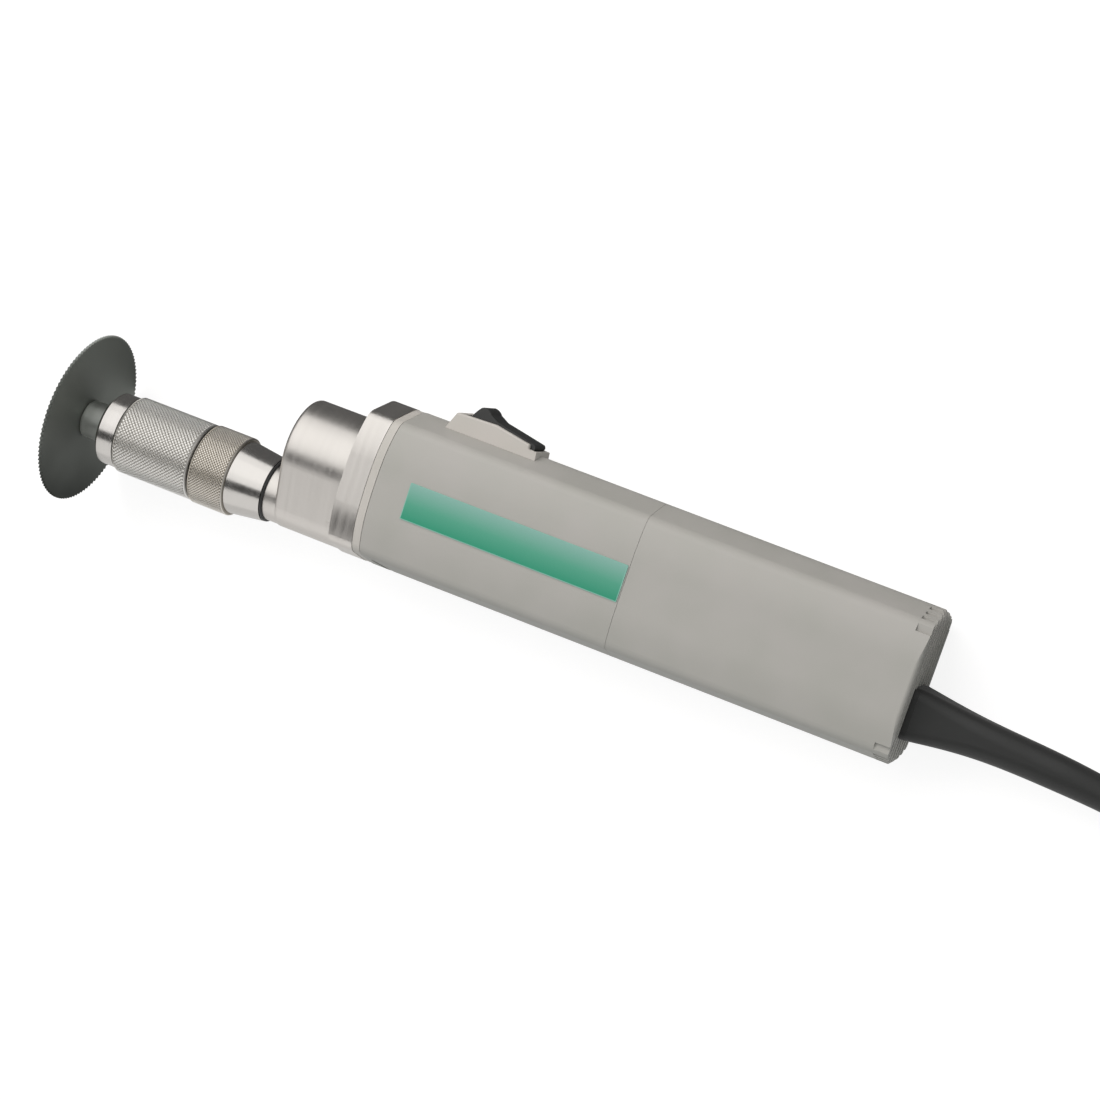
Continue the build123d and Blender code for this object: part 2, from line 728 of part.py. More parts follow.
with BuildPart() as brush_holders:
    for low in (holder_inner, -holder_outer):
        with BuildSketch(across_motor(low)):
            Rectangle(holder_size, holder_size)
            Rectangle(brush_size + 0.2, brush_size + 0.2, mode=Mode.SUBTRACT)
        extrude(amount=holder_outer - holder_inner)
brush_holders.part.label = "brush_holders"
export_step(brush_holders.part, "parts/brush_holders.step")

brush_face = commutator_diameter / 2 + loose_fit
brush_length = 8.0
with BuildPart() as brushes:
    for low in (brush_face, -brush_face - brush_length):
        with BuildSketch(across_motor(low)):
            Rectangle(brush_size, brush_size)
        extrude(amount=brush_length)
brushes.part.label = "brushes"
export_step(brushes.part, "parts/brushes.step")

spring_length = holder_outer - brush_face - brush_length - 2 * shadow_gap
with BuildPart() as brush_springs:
    for low in (brush_face + brush_length + shadow_gap, -holder_outer + shadow_gap):
        coils = 4
        pitch = spring_length / coils
        with BuildSketch(Plane(origin=tool.from_local_coords((brush_station, 0, motor_height)),
                               x_dir=tool.x_dir, z_dir=-tool.y_dir)):
            with BuildLine():
                outline = [(1.0, low)]
                for turn_index in range(coils):
                    outline.append((2.0, low + pitch * turn_index))
                    outline.append((2.7, low + pitch * (turn_index + 0.5)))
                outline.append((2.0, low + spring_length))
                outline.append((1.0, low + spring_length))
                Polyline(*outline, close=True)
            make_face()
        revolve(axis=Axis(tool.from_local_coords((brush_station, 0, motor_height)), tool.z_dir))
brush_springs.part.label = "brush_springs"
export_step(brush_springs.part, "parts/brush_springs.step")

# Light bezel between the flange and the housing
with BuildPart() as front_bezel:
    housing_prism(bezel_front - 2, bezel_rear + 8, inset=0.15)
    keep_between(bezel_front, bezel_rear)
    rod(bezel_front - 2, bezel_rear + 8, fan_diameter, motor_height, mode=Mode.SUBTRACT)
    for side, height in flange_screw_places:
        rod(bezel_front - 2, bezel_rear + 8, flange_screw_diameter + 0.4, height, side, Mode.SUBTRACT)
front_bezel.part.label = "front_bezel"
export_step(front_bezel.part, "parts/front_bezel.step")

# Screws through the lower side that hold the rear housing to the tongue of the front housing
housing_screw_station = seam + tongue_length / 2
housing_screw_heights = [motor_height + 15.0, motor_height - 15.0]
housing_screw_diameter = 3.0
housing_screw_head = 6.0
post_side = 13.2

# Switch window and well sizes
pocket_reach = rocker_reach + loose_fit
pocket_half = rocker_width / 2 + loose_fit
well_wall = 0.9
well_half = pocket_half + well_wall
well_reach = pocket_reach + well_wall
well_floor = rocker_pivot_height - 5.5


def across(low, high, diameter, mode=Mode.ADD):
    # Round forms on the lines of the housing screws, from one side distance to another
    with BuildSketch(lengthwise(high)) as profile:
        with Locations(*[(housing_screw_station, height) for height in housing_screw_heights]):
            Circle(diameter / 2)
    extrude(profile.sketch, amount=high - low, mode=mode)


# Front housing: shell with a tongue for the rear housing, screw posts, switch window and air outlet
with BuildPart() as front_housing:
    housing_prism(housing_front - 2, seam + 2)
    keep_between(housing_front, seam, rear_bowed=False)
    housing_prism(seam - 3, seam + tongue_length, inset=housing_wall - tongue_thickness)
    for side, height in flange_screw_places:
        rod(housing_front + 3, flange_screw_rear + 2, post_diameter, height, side)
    housing_prism(housing_front + 3, seam + tongue_length + 1, inset=housing_wall, mode=Mode.SUBTRACT)
    across(post_side, half_width - housing_wall - 0.7, post_diameter - 1.0)
    across(post_side - 1.0, half_width + 1.0, housing_screw_diameter + 0.1, Mode.SUBTRACT)
    rod(housing_front - 2, housing_front + 4, fan_diameter + 3, motor_height, mode=Mode.SUBTRACT)
    for side, height in flange_screw_places:
        rod(housing_front + 2.4, flange_screw_rear + 1, post_diameter - 1.0, height, side)
        rod(housing_front - 2, flange_screw_rear + 2, flange_screw_diameter + 0.1, height, side, Mode.SUBTRACT)
    with BuildSketch(Plane(origin=tool.from_local_coords((rocker_station, 0, 0)),
                           x_dir=tool.x_dir, z_dir=tool.z_dir)):
        Rectangle(2 * well_reach + 0.2, 2 * well_half + 0.2)
    extrude(amount=motor_height + half_height + 5, mode=Mode.SUBTRACT)
    with BuildSketch(Plane(origin=tool.from_local_coords((outlet_station, 0, motor_height - half_height + 5.3)),
                           x_dir=tool.x_dir, z_dir=-tool.z_dir)):
        for sign in (1, -1):
            with Locations((-outlet_sweep / 2, sign * outlet_spread / 2)):
                SlotCenterToCenter(hypot(outlet_sweep, outlet_spread), outlet_width,
                                   rotation=-sign * degrees(atan2(outlet_spread, outlet_sweep)))
    extrude(amount=6.0, mode=Mode.SUBTRACT)
front_housing.part.label = "front_housing"
export_step(front_housing.part, "parts/front_housing.step")

# Stations and heights of what hangs on the rear housing's inner shelf
shelf_front = rear_bearing_rear + 4.0
shelf_height = motor_height + 6.6


def housing_tail(front, inset=0.0):
    # The rear end of the form, rounded as seen from the side and from above
    housing_prism(front, rear_face - inset, inset)
    rear = rear_face - inset
    shrink = moulding_draft + inset
    from_above = Plane(origin=tool.from_local_coords((0, 0, motor_height)), x_dir=tool.x_dir, z_dir=tool.z_dir)
    views = [(lengthwise(), motor_height, half_height - shrink, tail_radius)]
    if inset == 0.0:
        views.append((from_above, 0.0, half_width - shrink, rear_edge_radius))
    for view, middle, half, radius in views:
        with BuildSketch(view) as outline:
            with BuildLine():
                high = middle + half
                low = middle - half
                Polyline((rear - radius, low), (front - 1, low - 2), (front - 1, high + 2), (rear - radius, high))
                TangentArc((rear - radius, high), (rear, high - radius), tangent=(1, 0))
                Line((rear, high - radius), (rear, low + radius))
                TangentArc((rear, low + radius), (rear - radius, low), tangent=(0, -1))
            make_face()
        extrude(outline.sketch, amount=2 * half_height, both=True, mode=Mode.INTERSECT)


# Louvre grooves, which follow the form at one depth and wrap its upper and lower rear edges
louvre_sides = [louvre_pitch * (index - (louvre_count - 1) / 2) for index in range(louvre_count)]
with BuildPart() as louvre_core:
    housing_tail(rear_face - 2 * louvre_wrap, louvre_depth)

with BuildPart() as louvre_cuts:
    with BuildSketch(station(rear_face - louvre_wrap, motor_height)):
        for side in louvre_sides:
            for sign in (1, -1):
                with Locations((side, sign * (louvre_start + half_height) / 2)):
                    Rectangle(louvre_width, half_height - louvre_start + 1)
    extrude(amount=louvre_wrap + 1)
    with BuildSketch(station(rear_face - louvre_depth, motor_height)):
        for side in louvre_sides[1:-1]:
            with Locations((side, 0)):
                Rectangle(louvre_width, 2 * half_height)
    extrude(amount=louvre_depth + 1)
    add(louvre_core.part, mode=Mode.SUBTRACT)

# Rear housing: shell closed at the rear, with the opening for the strain relief
with BuildPart() as rear_housing:
    housing_tail(rear_front)
    housing_prism(rear_front - 1, rear_face - rear_wall, inset=housing_wall, mode=Mode.SUBTRACT)
    housing_prism(rear_front - 1, rear_front + tongue_length + 0.3,
                  inset=housing_wall - tongue_thickness - 0.1, mode=Mode.SUBTRACT)
    with BuildSketch(station(shelf_front, shelf_height + shelf_thickness / 2)):
        Rectangle(2 * (half_width - 2.0), shelf_thickness)
    extrude(amount=shelf_length)
    across(half_width - 6.0, half_width + 1.0, housing_screw_diameter + 0.4, Mode.SUBTRACT)
    across(half_width - 1.9, half_width + 1.0, housing_screw_head + 0.4, Mode.SUBTRACT)
    add(louvre_cuts.part, mode=Mode.SUBTRACT)
    with BuildSketch(station(rear_face - rear_wall - 1, boot_height)):
        RectangleRounded(boot_root + 0.2, boot_root + 0.2, boot_root_corner + 0.1)
    extrude(amount=rear_wall + 2, mode=Mode.SUBTRACT)
rear_housing.part.label = "rear_housing"
export_step(rear_housing.part, "parts/rear_housing.step")

# Screws that hold the two housings together
with BuildPart() as housing_screws:
    across(half_width - 1.9, half_width - 1.1, housing_screw_head)
    across(post_side + 0.4, half_width - 1.9, housing_screw_diameter)
housing_screws.part.label = "housing_screws"
export_step(housing_screws.part, "parts/housing_screws.step")

# Label plate on the flat band
with BuildPart() as label_plate:
    housing_prism(label_front - 1, label_front + label_length + 1, inset=-label_thickness)
    housing_prism(label_front - 2, label_front + label_length + 2, inset=0.0, mode=Mode.SUBTRACT)
    with BuildSketch(lengthwise(-half_width + 3.0)):
        with Locations((label_front + label_length / 2, motor_height - 0.5)):
            RectangleRounded(label_length, label_width, label_corner)
    extrude(amount=6.0, mode=Mode.INTERSECT)
label_plate.part.label = "label_plate"
export_step(label_plate.part, "parts/label_plate.step")

# Switch surround: raised block on the ridge with the well that holds the rocker
ridge = motor_height + half_height
with BuildPart() as housing_form:
    housing_prism(housing_front - 2, seam + 2, inset=-0.05)

with BuildPart() as switch_surround:
    block_front = rocker_station - well_reach - 6.0
    block_rear = rocker_station + 12.0
    with BuildSketch(lengthwise()):
        with BuildLine():
            Polyline(
                (block_front, ridge - 5.0),
                (block_front + 4.0, ridge + surround_rise),
                (rocker_station - 2.0, ridge + surround_rise + 0.5),
                (block_rear, ridge + surround_rise - 1.9),
                (block_rear + 0.2, ridge + 0.9),
                (rocker_station + well_reach, ridge + 0.7),
                (rocker_station + well_reach + 0.6, ridge - 5.0),
                close=True,
            )
        make_face()
    extrude(amount=surround_width / 2, both=True)
    rims = switch_surround.edges().filter_by(lambda edge: tool.to_local_coords(edge.center()).Z > ridge + 1.2)
    fillet(rims, radius=surround_edge)
    add(housing_form.part, mode=Mode.SUBTRACT)
    with BuildSketch(Plane(origin=tool.from_local_coords((rocker_station, 0, well_floor - 1.2)),
                           x_dir=tool.x_dir, z_dir=tool.z_dir)):
        Rectangle(2 * well_reach, 2 * well_half)
    extrude(amount=ridge - well_floor + 1.0)
    with BuildSketch(lengthwise()):
        with Locations((rocker_station, rocker_pivot_height)):
            Circle(pocket_reach)
        with Locations((rocker_station, rocker_pivot_height + pocket_reach)):
            Rectangle(2 * pocket_reach, 2 * pocket_reach)
        with Locations((rocker_station, well_floor - pocket_reach)):
            Rectangle(4 * pocket_reach, 2 * pocket_reach, mode=Mode.SUBTRACT)
    extrude(amount=pocket_half, both=True, mode=Mode.SUBTRACT)
    with BuildSketch(lengthwise()):
        with Locations((rocker_station, rocker_pivot_height)):
            Circle(rocker_pin_diameter / 2 + seat_fit)
    extrude(amount=well_half, both=True, mode=Mode.SUBTRACT)
switch_surround.part.label = "switch_surround"
export_step(switch_surround.part, "parts/switch_surround.step")

# Pivot pin of the rocker
with BuildPart() as switch_pin:
    with BuildSketch(lengthwise()):
        with Locations((rocker_station, rocker_pivot_height)):
            Circle(rocker_pin_diameter / 2)
    extrude(amount=well_half, both=True)
switch_pin.part.label = "switch_pin"
export_step(switch_pin.part, "parts/switch_pin.step")

# Rocker: raised lobe at the front, hollow top sloping to a lip that passes the surround's rear
with BuildPart() as switch_rocker:
    pivot = rocker_pivot_height
    nose = (rocker_station - rocker_reach + 0.7, pivot + 2.4)
    brow = (rocker_station - 10.0, rocker_top - 0.6)
    crown = (rocker_station - 8.4, rocker_top)
    shoulder = (rocker_station - 5.6, rocker_top - 1.7)
    hollow = (rocker_station - 2.3, rocker_top - 3.4)
    lip = (rocker_station + rocker_reach - 1.1, pivot + 4.7)
    heel = (rocker_station + rocker_reach - 0.3, pivot + 3.3)
    tail = (rocker_station + rocker_reach - 0.9, pivot + 2.3)
    with BuildSketch(lengthwise()):
        with BuildLine():
            ThreePointArc(nose, (rocker_station - 12.4, pivot + 6.6), brow)
            ThreePointArc(brow, (rocker_station - 9.3, rocker_top - 0.1), crown)
            ThreePointArc(crown, (rocker_station - 6.6, rocker_top - 0.7), shoulder)
            Line(shoulder, hollow)
            ThreePointArc(hollow, (rocker_station + 5.2, pivot + 6.2), lip)
            ThreePointArc(lip, (rocker_station + rocker_reach - 0.5, pivot + 4.2), heel)
            Line(heel, tail)
            Line(tail, (rocker_station + 4.0, pivot - 2.0))
            ThreePointArc((rocker_station + 4.0, pivot - 2.0), (rocker_station, pivot - 3.6),
                          (rocker_station - 4.0, pivot - 2.0))
            Line((rocker_station - 4.0, pivot - 2.0), nose)
        make_face()
        with Locations((rocker_station, pivot)):
            Circle(rocker_pin_diameter / 2 + running_fit, mode=Mode.SUBTRACT)
    extrude(amount=rocker_width / 2, both=True)
switch_rocker.part.label = "switch_rocker"
export_step(switch_rocker.part, "parts/switch_rocker.step")

# Switch module under the well, with three blade terminals
with BuildPart() as switch_module:
    module_top = well_floor - 1.2 - shadow_gap
    with BuildSketch(Plane(origin=tool.from_local_coords((rocker_station, 0, module_top - module_depth)),
                           x_dir=tool.x_dir, z_dir=tool.z_dir)):
        Rectangle(module_length, module_width)
    extrude(amount=module_depth)
    with BuildSketch(Plane(origin=tool.from_local_coords((rocker_station, 0, module_top - module_depth - 4.0)),
                           x_dir=tool.x_dir, z_dir=tool.z_dir)):
        with GridLocations(8.5, 1, 3, 1):
            Rectangle(0.8, 4.8)
    extrude(amount=4.5)
switch_module.part.label = "switch_module"
export_step(switch_module.part, "parts/switch_module.step")

# Suppression capacitor and terminal block in the rear housing
capacitor_station = rear_bearing_rear + 6.0
with BuildPart() as capacitor:
    above_shelf = shelf_height + shelf_thickness + shadow_gap
    with BuildSketch(station(capacitor_station, above_shelf + capacitor_depth / 2)):
        RectangleRounded(capacitor_width, capacitor_depth, 1.5)
    extrude(amount=capacitor_length)
capacitor.part.label = "capacitor"
export_step(capacitor.part, "parts/capacitor.step")

with BuildPart() as terminal_block:
    block_station = rear_bearing_rear + 6.0
    with BuildSketch(station(block_station, shelf_height - shadow_gap - terminal_depth / 2)):
        Rectangle(terminal_width, terminal_depth)
        with GridLocations(8.0, 1, 3, 1):
            Circle(1.8, mode=Mode.SUBTRACT)
    extrude(amount=terminal_length)
terminal_block.part.label = "terminal_block"
export_step(terminal_block.part, "parts/terminal_block.step")

# Strain relief: flanged neck in the rear wall, then a tapering rubber boot that droops a little
boot_flange_front = rear_face - rear_wall - 2.2
boot_exit = tool.from_local_coords((rear_face, 0, boot_height))
cord_route = [
    (250.0, -8.4, 11.9),
    (271.5, -12.0, 8.6),
    (302.0, -32.4, 4.7),
    (332.4, -41.5, 4.1),
    (350.4, -41.5, 4.1),
]
with BuildPart() as strain_relief:
    rod(boot_flange_front, rear_face - rear_wall - 0.2, boot_root + 8.0, boot_height)
    with BuildSketch(station(rear_face - rear_wall - 0.5, boot_height)):
        RectangleRounded(boot_root, boot_root, boot_root_corner)
    extrude(amount=rear_wall + 2.5)
    start = tool.from_local_coords((rear_face + 1.5, 0, boot_height))
    into_cord = (Vector(*cord_route[1]) - Vector(*cord_route[0])).normalized()
    with BuildLine(mode=Mode.PRIVATE) as droop:
        Spline(start, Vector(*cord_route[0]), tangents=[tool.x_dir, into_cord])
    boot_tapers = [(0.0, 1.0), (0.16, 0.55), (0.32, 0.25), (0.5, 0.12), (0.75, 0.0), (1.0, 0.0)]
    for share, fullness in boot_tapers:
        width = boot_end_diameter + fullness * (boot_root - boot_end_diameter)
        corner = boot_root_corner + (1 - fullness) * (boot_end_diameter / 2 - 0.1 - boot_root_corner)
        forward = droop.line % share
        across_boot = forward.cross(tool.z_dir)
        with BuildSketch(Plane(origin=droop.line @ share, x_dir=across_boot, z_dir=forward)):
            RectangleRounded(width, width, corner)
    loft()
strain_relief.part.label = "strain_relief"
export_step(strain_relief.part, "parts/strain_relief.step")

# Inner end of the lead, its clamp and the clamp's screws
clamp_station = rear_face - rear_wall - 16.0
with BuildPart() as inner_lead:
    rod(capacitor_station + terminal_length + 2.0, boot_flange_front - shadow_gap, cord_diameter, boot_height)
inner_lead.part.label = "inner_lead"
export_step(inner_lead.part, "parts/inner_lead.step")

clamp_middle = clamp_station + clamp_length / 2
with BuildPart() as cord_clamp:
    with BuildSketch(station(clamp_station, boot_height)):
        RectangleRounded(clamp_width, clamp_depth, 3.0)
        Circle(cord_diameter / 2 + 0.1, mode=Mode.SUBTRACT)
    extrude(amount=clamp_length)
    with BuildSketch(Plane(origin=tool.from_local_coords((clamp_middle, 0, boot_height)),
                           x_dir=tool.x_dir, z_dir=tool.z_dir)):
        with Locations((0, clamp_screw_side), (0, -clamp_screw_side)):
            Circle(clamp_screw_diameter / 2 + shadow_gap)
    extrude(amount=clamp_depth, both=True, mode=Mode.SUBTRACT)
cord_clamp.part.label = "cord_clamp"
export_step(cord_clamp.part, "parts/cord_clamp.step")

with BuildPart() as clamp_screws:
    for side in (clamp_screw_side, -clamp_screw_side):
        low = boot_height - clamp_depth / 2 + 0.5
        high = boot_height + clamp_depth / 2 + 0.1
        with BuildSketch(Plane(origin=tool.from_local_coords((clamp_middle, side, low)),
                               x_dir=tool.x_dir, z_dir=tool.z_dir)):
            Circle(clamp_screw_diameter / 2)
        extrude(amount=high - low)
        with BuildSketch(Plane(origin=tool.from_local_coords((clamp_middle, side, high)),
                               x_dir=tool.x_dir, z_dir=tool.z_dir)):
            Circle(clamp_screw_diameter / 2 + 1.3)
        extrude(amount=2.0)
clamp_screws.part.label = "clamp_screws"
export_step(clamp_screws.part, "parts/clamp_screws.step")

# Put-away coil of the lead, one closed ring
coil_centre = (340.0, 16.0)
coil_inner_radius = coil_middle_radius - coil_columns * cord_diameter / 2
coil_outer_radius = coil_middle_radius + coil_columns * cord_diameter / 2
coil_height = coil_layers * cord_diameter
with BuildPart() as cord_coil:
    with BuildSketch(Plane(origin=(coil_centre[0], coil_centre[1], 0), x_dir=(1, 0, 0), z_dir=(0, -1, 0))):
        with Locations((coil_middle_radius, coil_height / 2 + 0.1)):
            RectangleRounded(coil_outer_radius - coil_inner_radius, coil_height, cord_diameter / 2 - 0.5)
    revolve(axis=Axis((coil_centre[0], coil_centre[1], 0), (0, 0, 1)))
cord_coil.part.label = "cord_coil"
export_step(cord_coil.part, "parts/cord_coil.step")


def bend_radii(points):
    # The largest arc that each pair of runs allows
    radii = []
    for before, here, after in zip(points, points[1:], points[2:]):
        entering = Vector(*here) - Vector(*before)
        leaving = Vector(*after) - Vector(*here)
        shorter = min(entering.length, leaving.length)
        radii.append(0.45 * shorter / tan(radians(entering.get_angle(leaving)) / 2))
    return radii


def cord_tube(points):
    # A tube of straight runs joined by tangent arcs
    radii = bend_radii(points)
    print("bend radii", [round(radius, 1) for radius in radii])
    with BuildLine() as route:
        FilletPolyline(*points, radius=radii)
    path = route.wires()[0]
    with BuildSketch(Plane(origin=path @ 0, z_dir=path % 0)) as round_section:
        Circle(cord_diameter / 2)
    sweep(round_section.sketch, path=path)
    return path.length


# Lead from the strain relief to the coil, and from the top of the coil to the plug
with BuildPart() as mains_cord:
    length = cord_tube(cord_route)
print("mains_cord", round(length), "volume share", mains_cord.part.volume / (length * pi * cord_diameter**2 / 4))
mains_cord.part.label = "mains_cord"
export_step(mains_cord.part, "parts/mains_cord.step")

tail_heights = [12.2, 12.5, 16.1, 21.4, 25.0, 25.4]
tail_radius_on_coil = 42.5
tail_shift = 15.5
tail_route = []
for turn_index, height in enumerate(tail_heights):
    angle = radians(24 * turn_index)
    along = coil_centre[0] + tail_shift + tail_radius_on_coil * cos(angle)
    tail_route.append((along, coil_centre[1] + tail_radius_on_coil * sin(angle), height))
with BuildPart() as plug_lead:
    length = cord_tube(tail_route)
print("plug_lead", round(length), "volume share", plug_lead.part.volume / (length * pi * cord_diameter**2 / 4))
plug_lead.part.label = "plug_lead"
export_step(plug_lead.part, "parts/plug_lead.step")

# Moulded plug that lies on the coil, pins up
entry = Vector(*tail_route[-1])
heading = entry - Vector(*tail_route[-2])
heading = Vector(heading.X, heading.Y, 0).normalized()
plug_base = coil_height + 0.4
plug_thickness = 18.0
plug_plane = Plane(origin=(entry.X, entry.Y, plug_base), x_dir=heading, z_dir=(0, 0, 1))
neck_length = 10.0
with BuildPart() as plug_body:
    with BuildSketch(plug_plane):
        with BuildLine():
            Polyline((neck_length, 14.0), (neck_length + 16.0, 25.0), (neck_length + 45.0, 25.0),
                     (neck_length + 45.0, -25.0), (neck_length + 16.0, -25.0), (neck_length, -14.0), close=True)
        outline = make_face()
        fillet(outline.vertices(), radius=5.0)
    extrude(amount=plug_thickness)
    top = plug_body.faces().sort_by(Axis.Z)
    fillet(top[0].edges(), radius=3.0)
    fillet(plug_body.faces().sort_by(Axis.Z)[-1].edges(), radius=1.0)
    with BuildSketch(Plane(origin=(entry.X, entry.Y, entry.Z), z_dir=heading)):
        Circle(6.0)
    extrude(amount=neck_length + 4)
plug_body.part.label = "plug_body"
export_step(plug_body.part, "parts/plug_body.step")

with BuildPart() as plug_pins:
    with BuildSketch(plug_plane.offset(plug_thickness + 0.0)):
        with Locations((neck_length + 11.0, 11.1), (neck_length + 11.0, -11.1)):
            Rectangle(4.0, 6.4)
    extrude(amount=17.7)
    with BuildSketch(plug_plane.offset(plug_thickness + 0.0)):
        with Locations((neck_length + 33.2, 0)):
            Rectangle(8.0, 4.0)
    extrude(amount=22.7)
plug_pins.part.label = "plug_pins"
export_step(plug_pins.part, "parts/plug_pins.step")

print("tilt", round(degrees(tilt), 3), "middle", round(middle_x, 2), round(middle_y, 2), "lift", round(axis_lift, 3))
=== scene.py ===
import bpy
import bmesh
import math
from mathutils import Matrix, Vector


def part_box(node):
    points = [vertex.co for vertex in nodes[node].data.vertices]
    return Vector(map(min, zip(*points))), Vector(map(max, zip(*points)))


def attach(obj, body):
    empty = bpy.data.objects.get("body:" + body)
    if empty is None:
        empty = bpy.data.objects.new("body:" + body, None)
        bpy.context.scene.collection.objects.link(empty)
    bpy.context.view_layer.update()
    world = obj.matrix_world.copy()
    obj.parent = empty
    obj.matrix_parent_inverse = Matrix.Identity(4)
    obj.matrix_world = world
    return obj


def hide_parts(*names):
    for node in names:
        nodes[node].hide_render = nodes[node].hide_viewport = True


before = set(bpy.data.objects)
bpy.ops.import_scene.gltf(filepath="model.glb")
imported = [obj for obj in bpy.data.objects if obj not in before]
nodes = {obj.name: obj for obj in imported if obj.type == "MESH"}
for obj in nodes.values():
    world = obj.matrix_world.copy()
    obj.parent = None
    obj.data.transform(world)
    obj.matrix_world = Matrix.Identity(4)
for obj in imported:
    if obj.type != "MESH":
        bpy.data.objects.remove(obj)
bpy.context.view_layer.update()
print("stage: frame loaded,", len(nodes), "nodes")

# The saw lies on its side: in its own millimetres x runs rearward, y down to the floor, z toward the switch
lie = {
    "tiltDegrees": 2.2380073,
    "middleX": 161.659526,
    "middleY": 11.75,
    "lift": 32.494735,
}
tiltCos = math.cos(math.radians(lie["tiltDegrees"]))
tiltSin = math.sin(math.radians(lie["tiltDegrees"]))
toolAxes = Matrix((  # its columns are the tool's x, y and z
    (tiltCos, -tiltSin, 0),
    (0, 0, 1),
    (-tiltSin, -tiltCos, 0),
))
toolOrigin = Vector((-lie["middleX"], -lie["middleY"], lie["lift"])) / 1000
toolMatrix = Matrix.Translation(toolOrigin) @ toolAxes.to_4x4() @ Matrix.Scale(1 / 1000, 4)

# Camera: where it stands in the tool's millimetres, and its three directions along the tool's axes
shot = {
    "place": (465.06, -911.21, 142.75),
    "right": (0.89404, 0.31533, 0.31821),
    "down": (0.34351, -0.02658, -0.93877),
    "ahead": (-0.28756, 0.94861, -0.13208),
    "lens": 88.36,
    "sensor": 36,
    "nearest": 0.01,
}
cameraData = bpy.data.cameras.new("camera")
cameraData.sensor_fit = "HORIZONTAL"
cameraData.sensor_width = shot["sensor"]
cameraData.lens = shot["lens"]
cameraData.clip_start = shot["nearest"]
camera = bpy.data.objects.new("camera", cameraData)
bpy.context.collection.objects.link(camera)
cameraTurn = Matrix((
    toolAxes @ Vector(shot["right"]),
    toolAxes @ -Vector(shot["down"]),
    toolAxes @ -Vector(shot["ahead"]),
)).transposed()
camera.matrix_world = Matrix.Translation(toolMatrix @ Vector(shot["place"])) @ cameraTurn.to_4x4()
bpy.context.scene.camera = camera

# Mains lead: out of the boot, down to the floor, eight turns in two layers, then up to the plug on top
lead = {
    "diameter": 8.0,
    "length": 2.3,
    "route": [
        (250.0, -8.4, 11.9),
        (271.5, -12.0, 8.6),
        (302.0, -32.4, 4.7),
        (332.4, -41.5, 4.1),
        (350.4, -41.5, 4.1),
    ],
    "coilMiddle": (340.0, 16.0),
    "columns": (33.7, 41.85, 50.0, 58.15),
    "layers": (4.1, 12.25),
    "pointsPerTurn": 20,
    "firstAngle": -54,
    "turnsFrom": -113,       # degrees where the count of a turn starts
    "inward": (270, 360),    # part of a bottom turn in which it moves to the next column in
    "climb": (210, 330),     # part of the innermost turn in which it rises to the top layer
    "outward": (180, 270),   # part of a top turn in which it moves to the next column out
    "tailHeights": (12.2, 14.0, 18.6, 22.6, 25.0, 25.4),
    "tailStep": 24,
    "tailRadius": 42.5,
    "tailShift": 15.5,
    "splineOrder": 3,
    "splineSteps": 6,
    "roundness": 6,
}


def easedShare(angle, window):
    share = min(max((angle - window[0]) / (window[1] - window[0]), 0), 1)
    return share * share * (3 - 2 * share)


def coilPlace(angle):
    # Column radius and height of the put-away turns: bottom layer from outside in, top layer from inside out
    columns = lead["columns"]
    low, high = lead["layers"]
    last = len(columns) - 1
    turn, rest = divmod(angle - lead["turnsFrom"], 360)
    turn = int(turn)
    if turn < last:
        here, after = columns[last - turn], columns[last - turn - 1]
        return here + (after - here) * easedShare(rest, lead["inward"]), low
    if turn == last:
        return columns[0], low + (high - low) * easedShare(rest, lead["climb"])
    if turn < 2 * last + 1:
        here, after = columns[turn - last - 1], columns[turn - last]
        return here + (after - here) * easedShare(rest, lead["outward"]), high
    return columns[last], high


def leadPoints():
    middleX, middleY = lead["coilMiddle"]
    points = list(lead["route"])
    step = 360 / lead["pointsPerTurn"]
    outside = 1 / math.cos(math.radians(step / 2))  # the spline runs this much inside its control points
    fullTurns = 2 * len(lead["columns"]) - 1
    angle = lead["firstAngle"]
    while angle < 360 * fullTurns:
        radius, height = coilPlace(angle)
        turned = math.radians(angle)
        x = middleX + radius * outside * math.cos(turned)
        y = middleY + radius * outside * math.sin(turned)
        points.append((x, y, height))
        angle += step
    for index, height in enumerate(lead["tailHeights"]):
        turned = math.radians(lead["tailStep"] * index)
        x = middleX + lead["tailShift"] + lead["tailRadius"] * math.cos(turned)
        y = middleY + lead["tailRadius"] * math.sin(turned)
        points.append((x, y, height))
    return points


leadCurve = bpy.data.curves.new("mainsLead", "CURVE")
leadCurve.dimensions = "3D"
leadSpline = leadCurve.splines.new("NURBS")
leadPlaces = leadPoints()
leadSpline.points.add(len(leadPlaces) - 1)
for point, place in zip(leadSpline.points, leadPlaces):
    point.co = (*(Vector(place) / 1000), 1)
leadSpline.order_u = lead["splineOrder"]
leadSpline.use_endpoint_u = True
leadSpline.resolution_u = lead["splineSteps"]
leadCurve.bevel_depth = lead["diameter"] / 2 / 1000
leadCurve.bevel_resolution = lead["roundness"]
leadCurve.use_fill_caps = True
mainsLead = bpy.data.objects.new("mainsLead", leadCurve)
bpy.context.collection.objects.link(mainsLead)
print("stage: camera and lead,", len(leadPlaces), "lead points")


# Materials
reliefMetres = 0.0001  # height of a grain or a tool mark at strength one


def linear(hexColour):
    values = [int(hexColour[i:i + 2], 16) / 255 for i in (1, 3, 5)]
    return tuple(v / 12.92 if v <= 0.04045 else ((v + 0.055) / 1.055) ** 2.4 for v in values) + (1,)


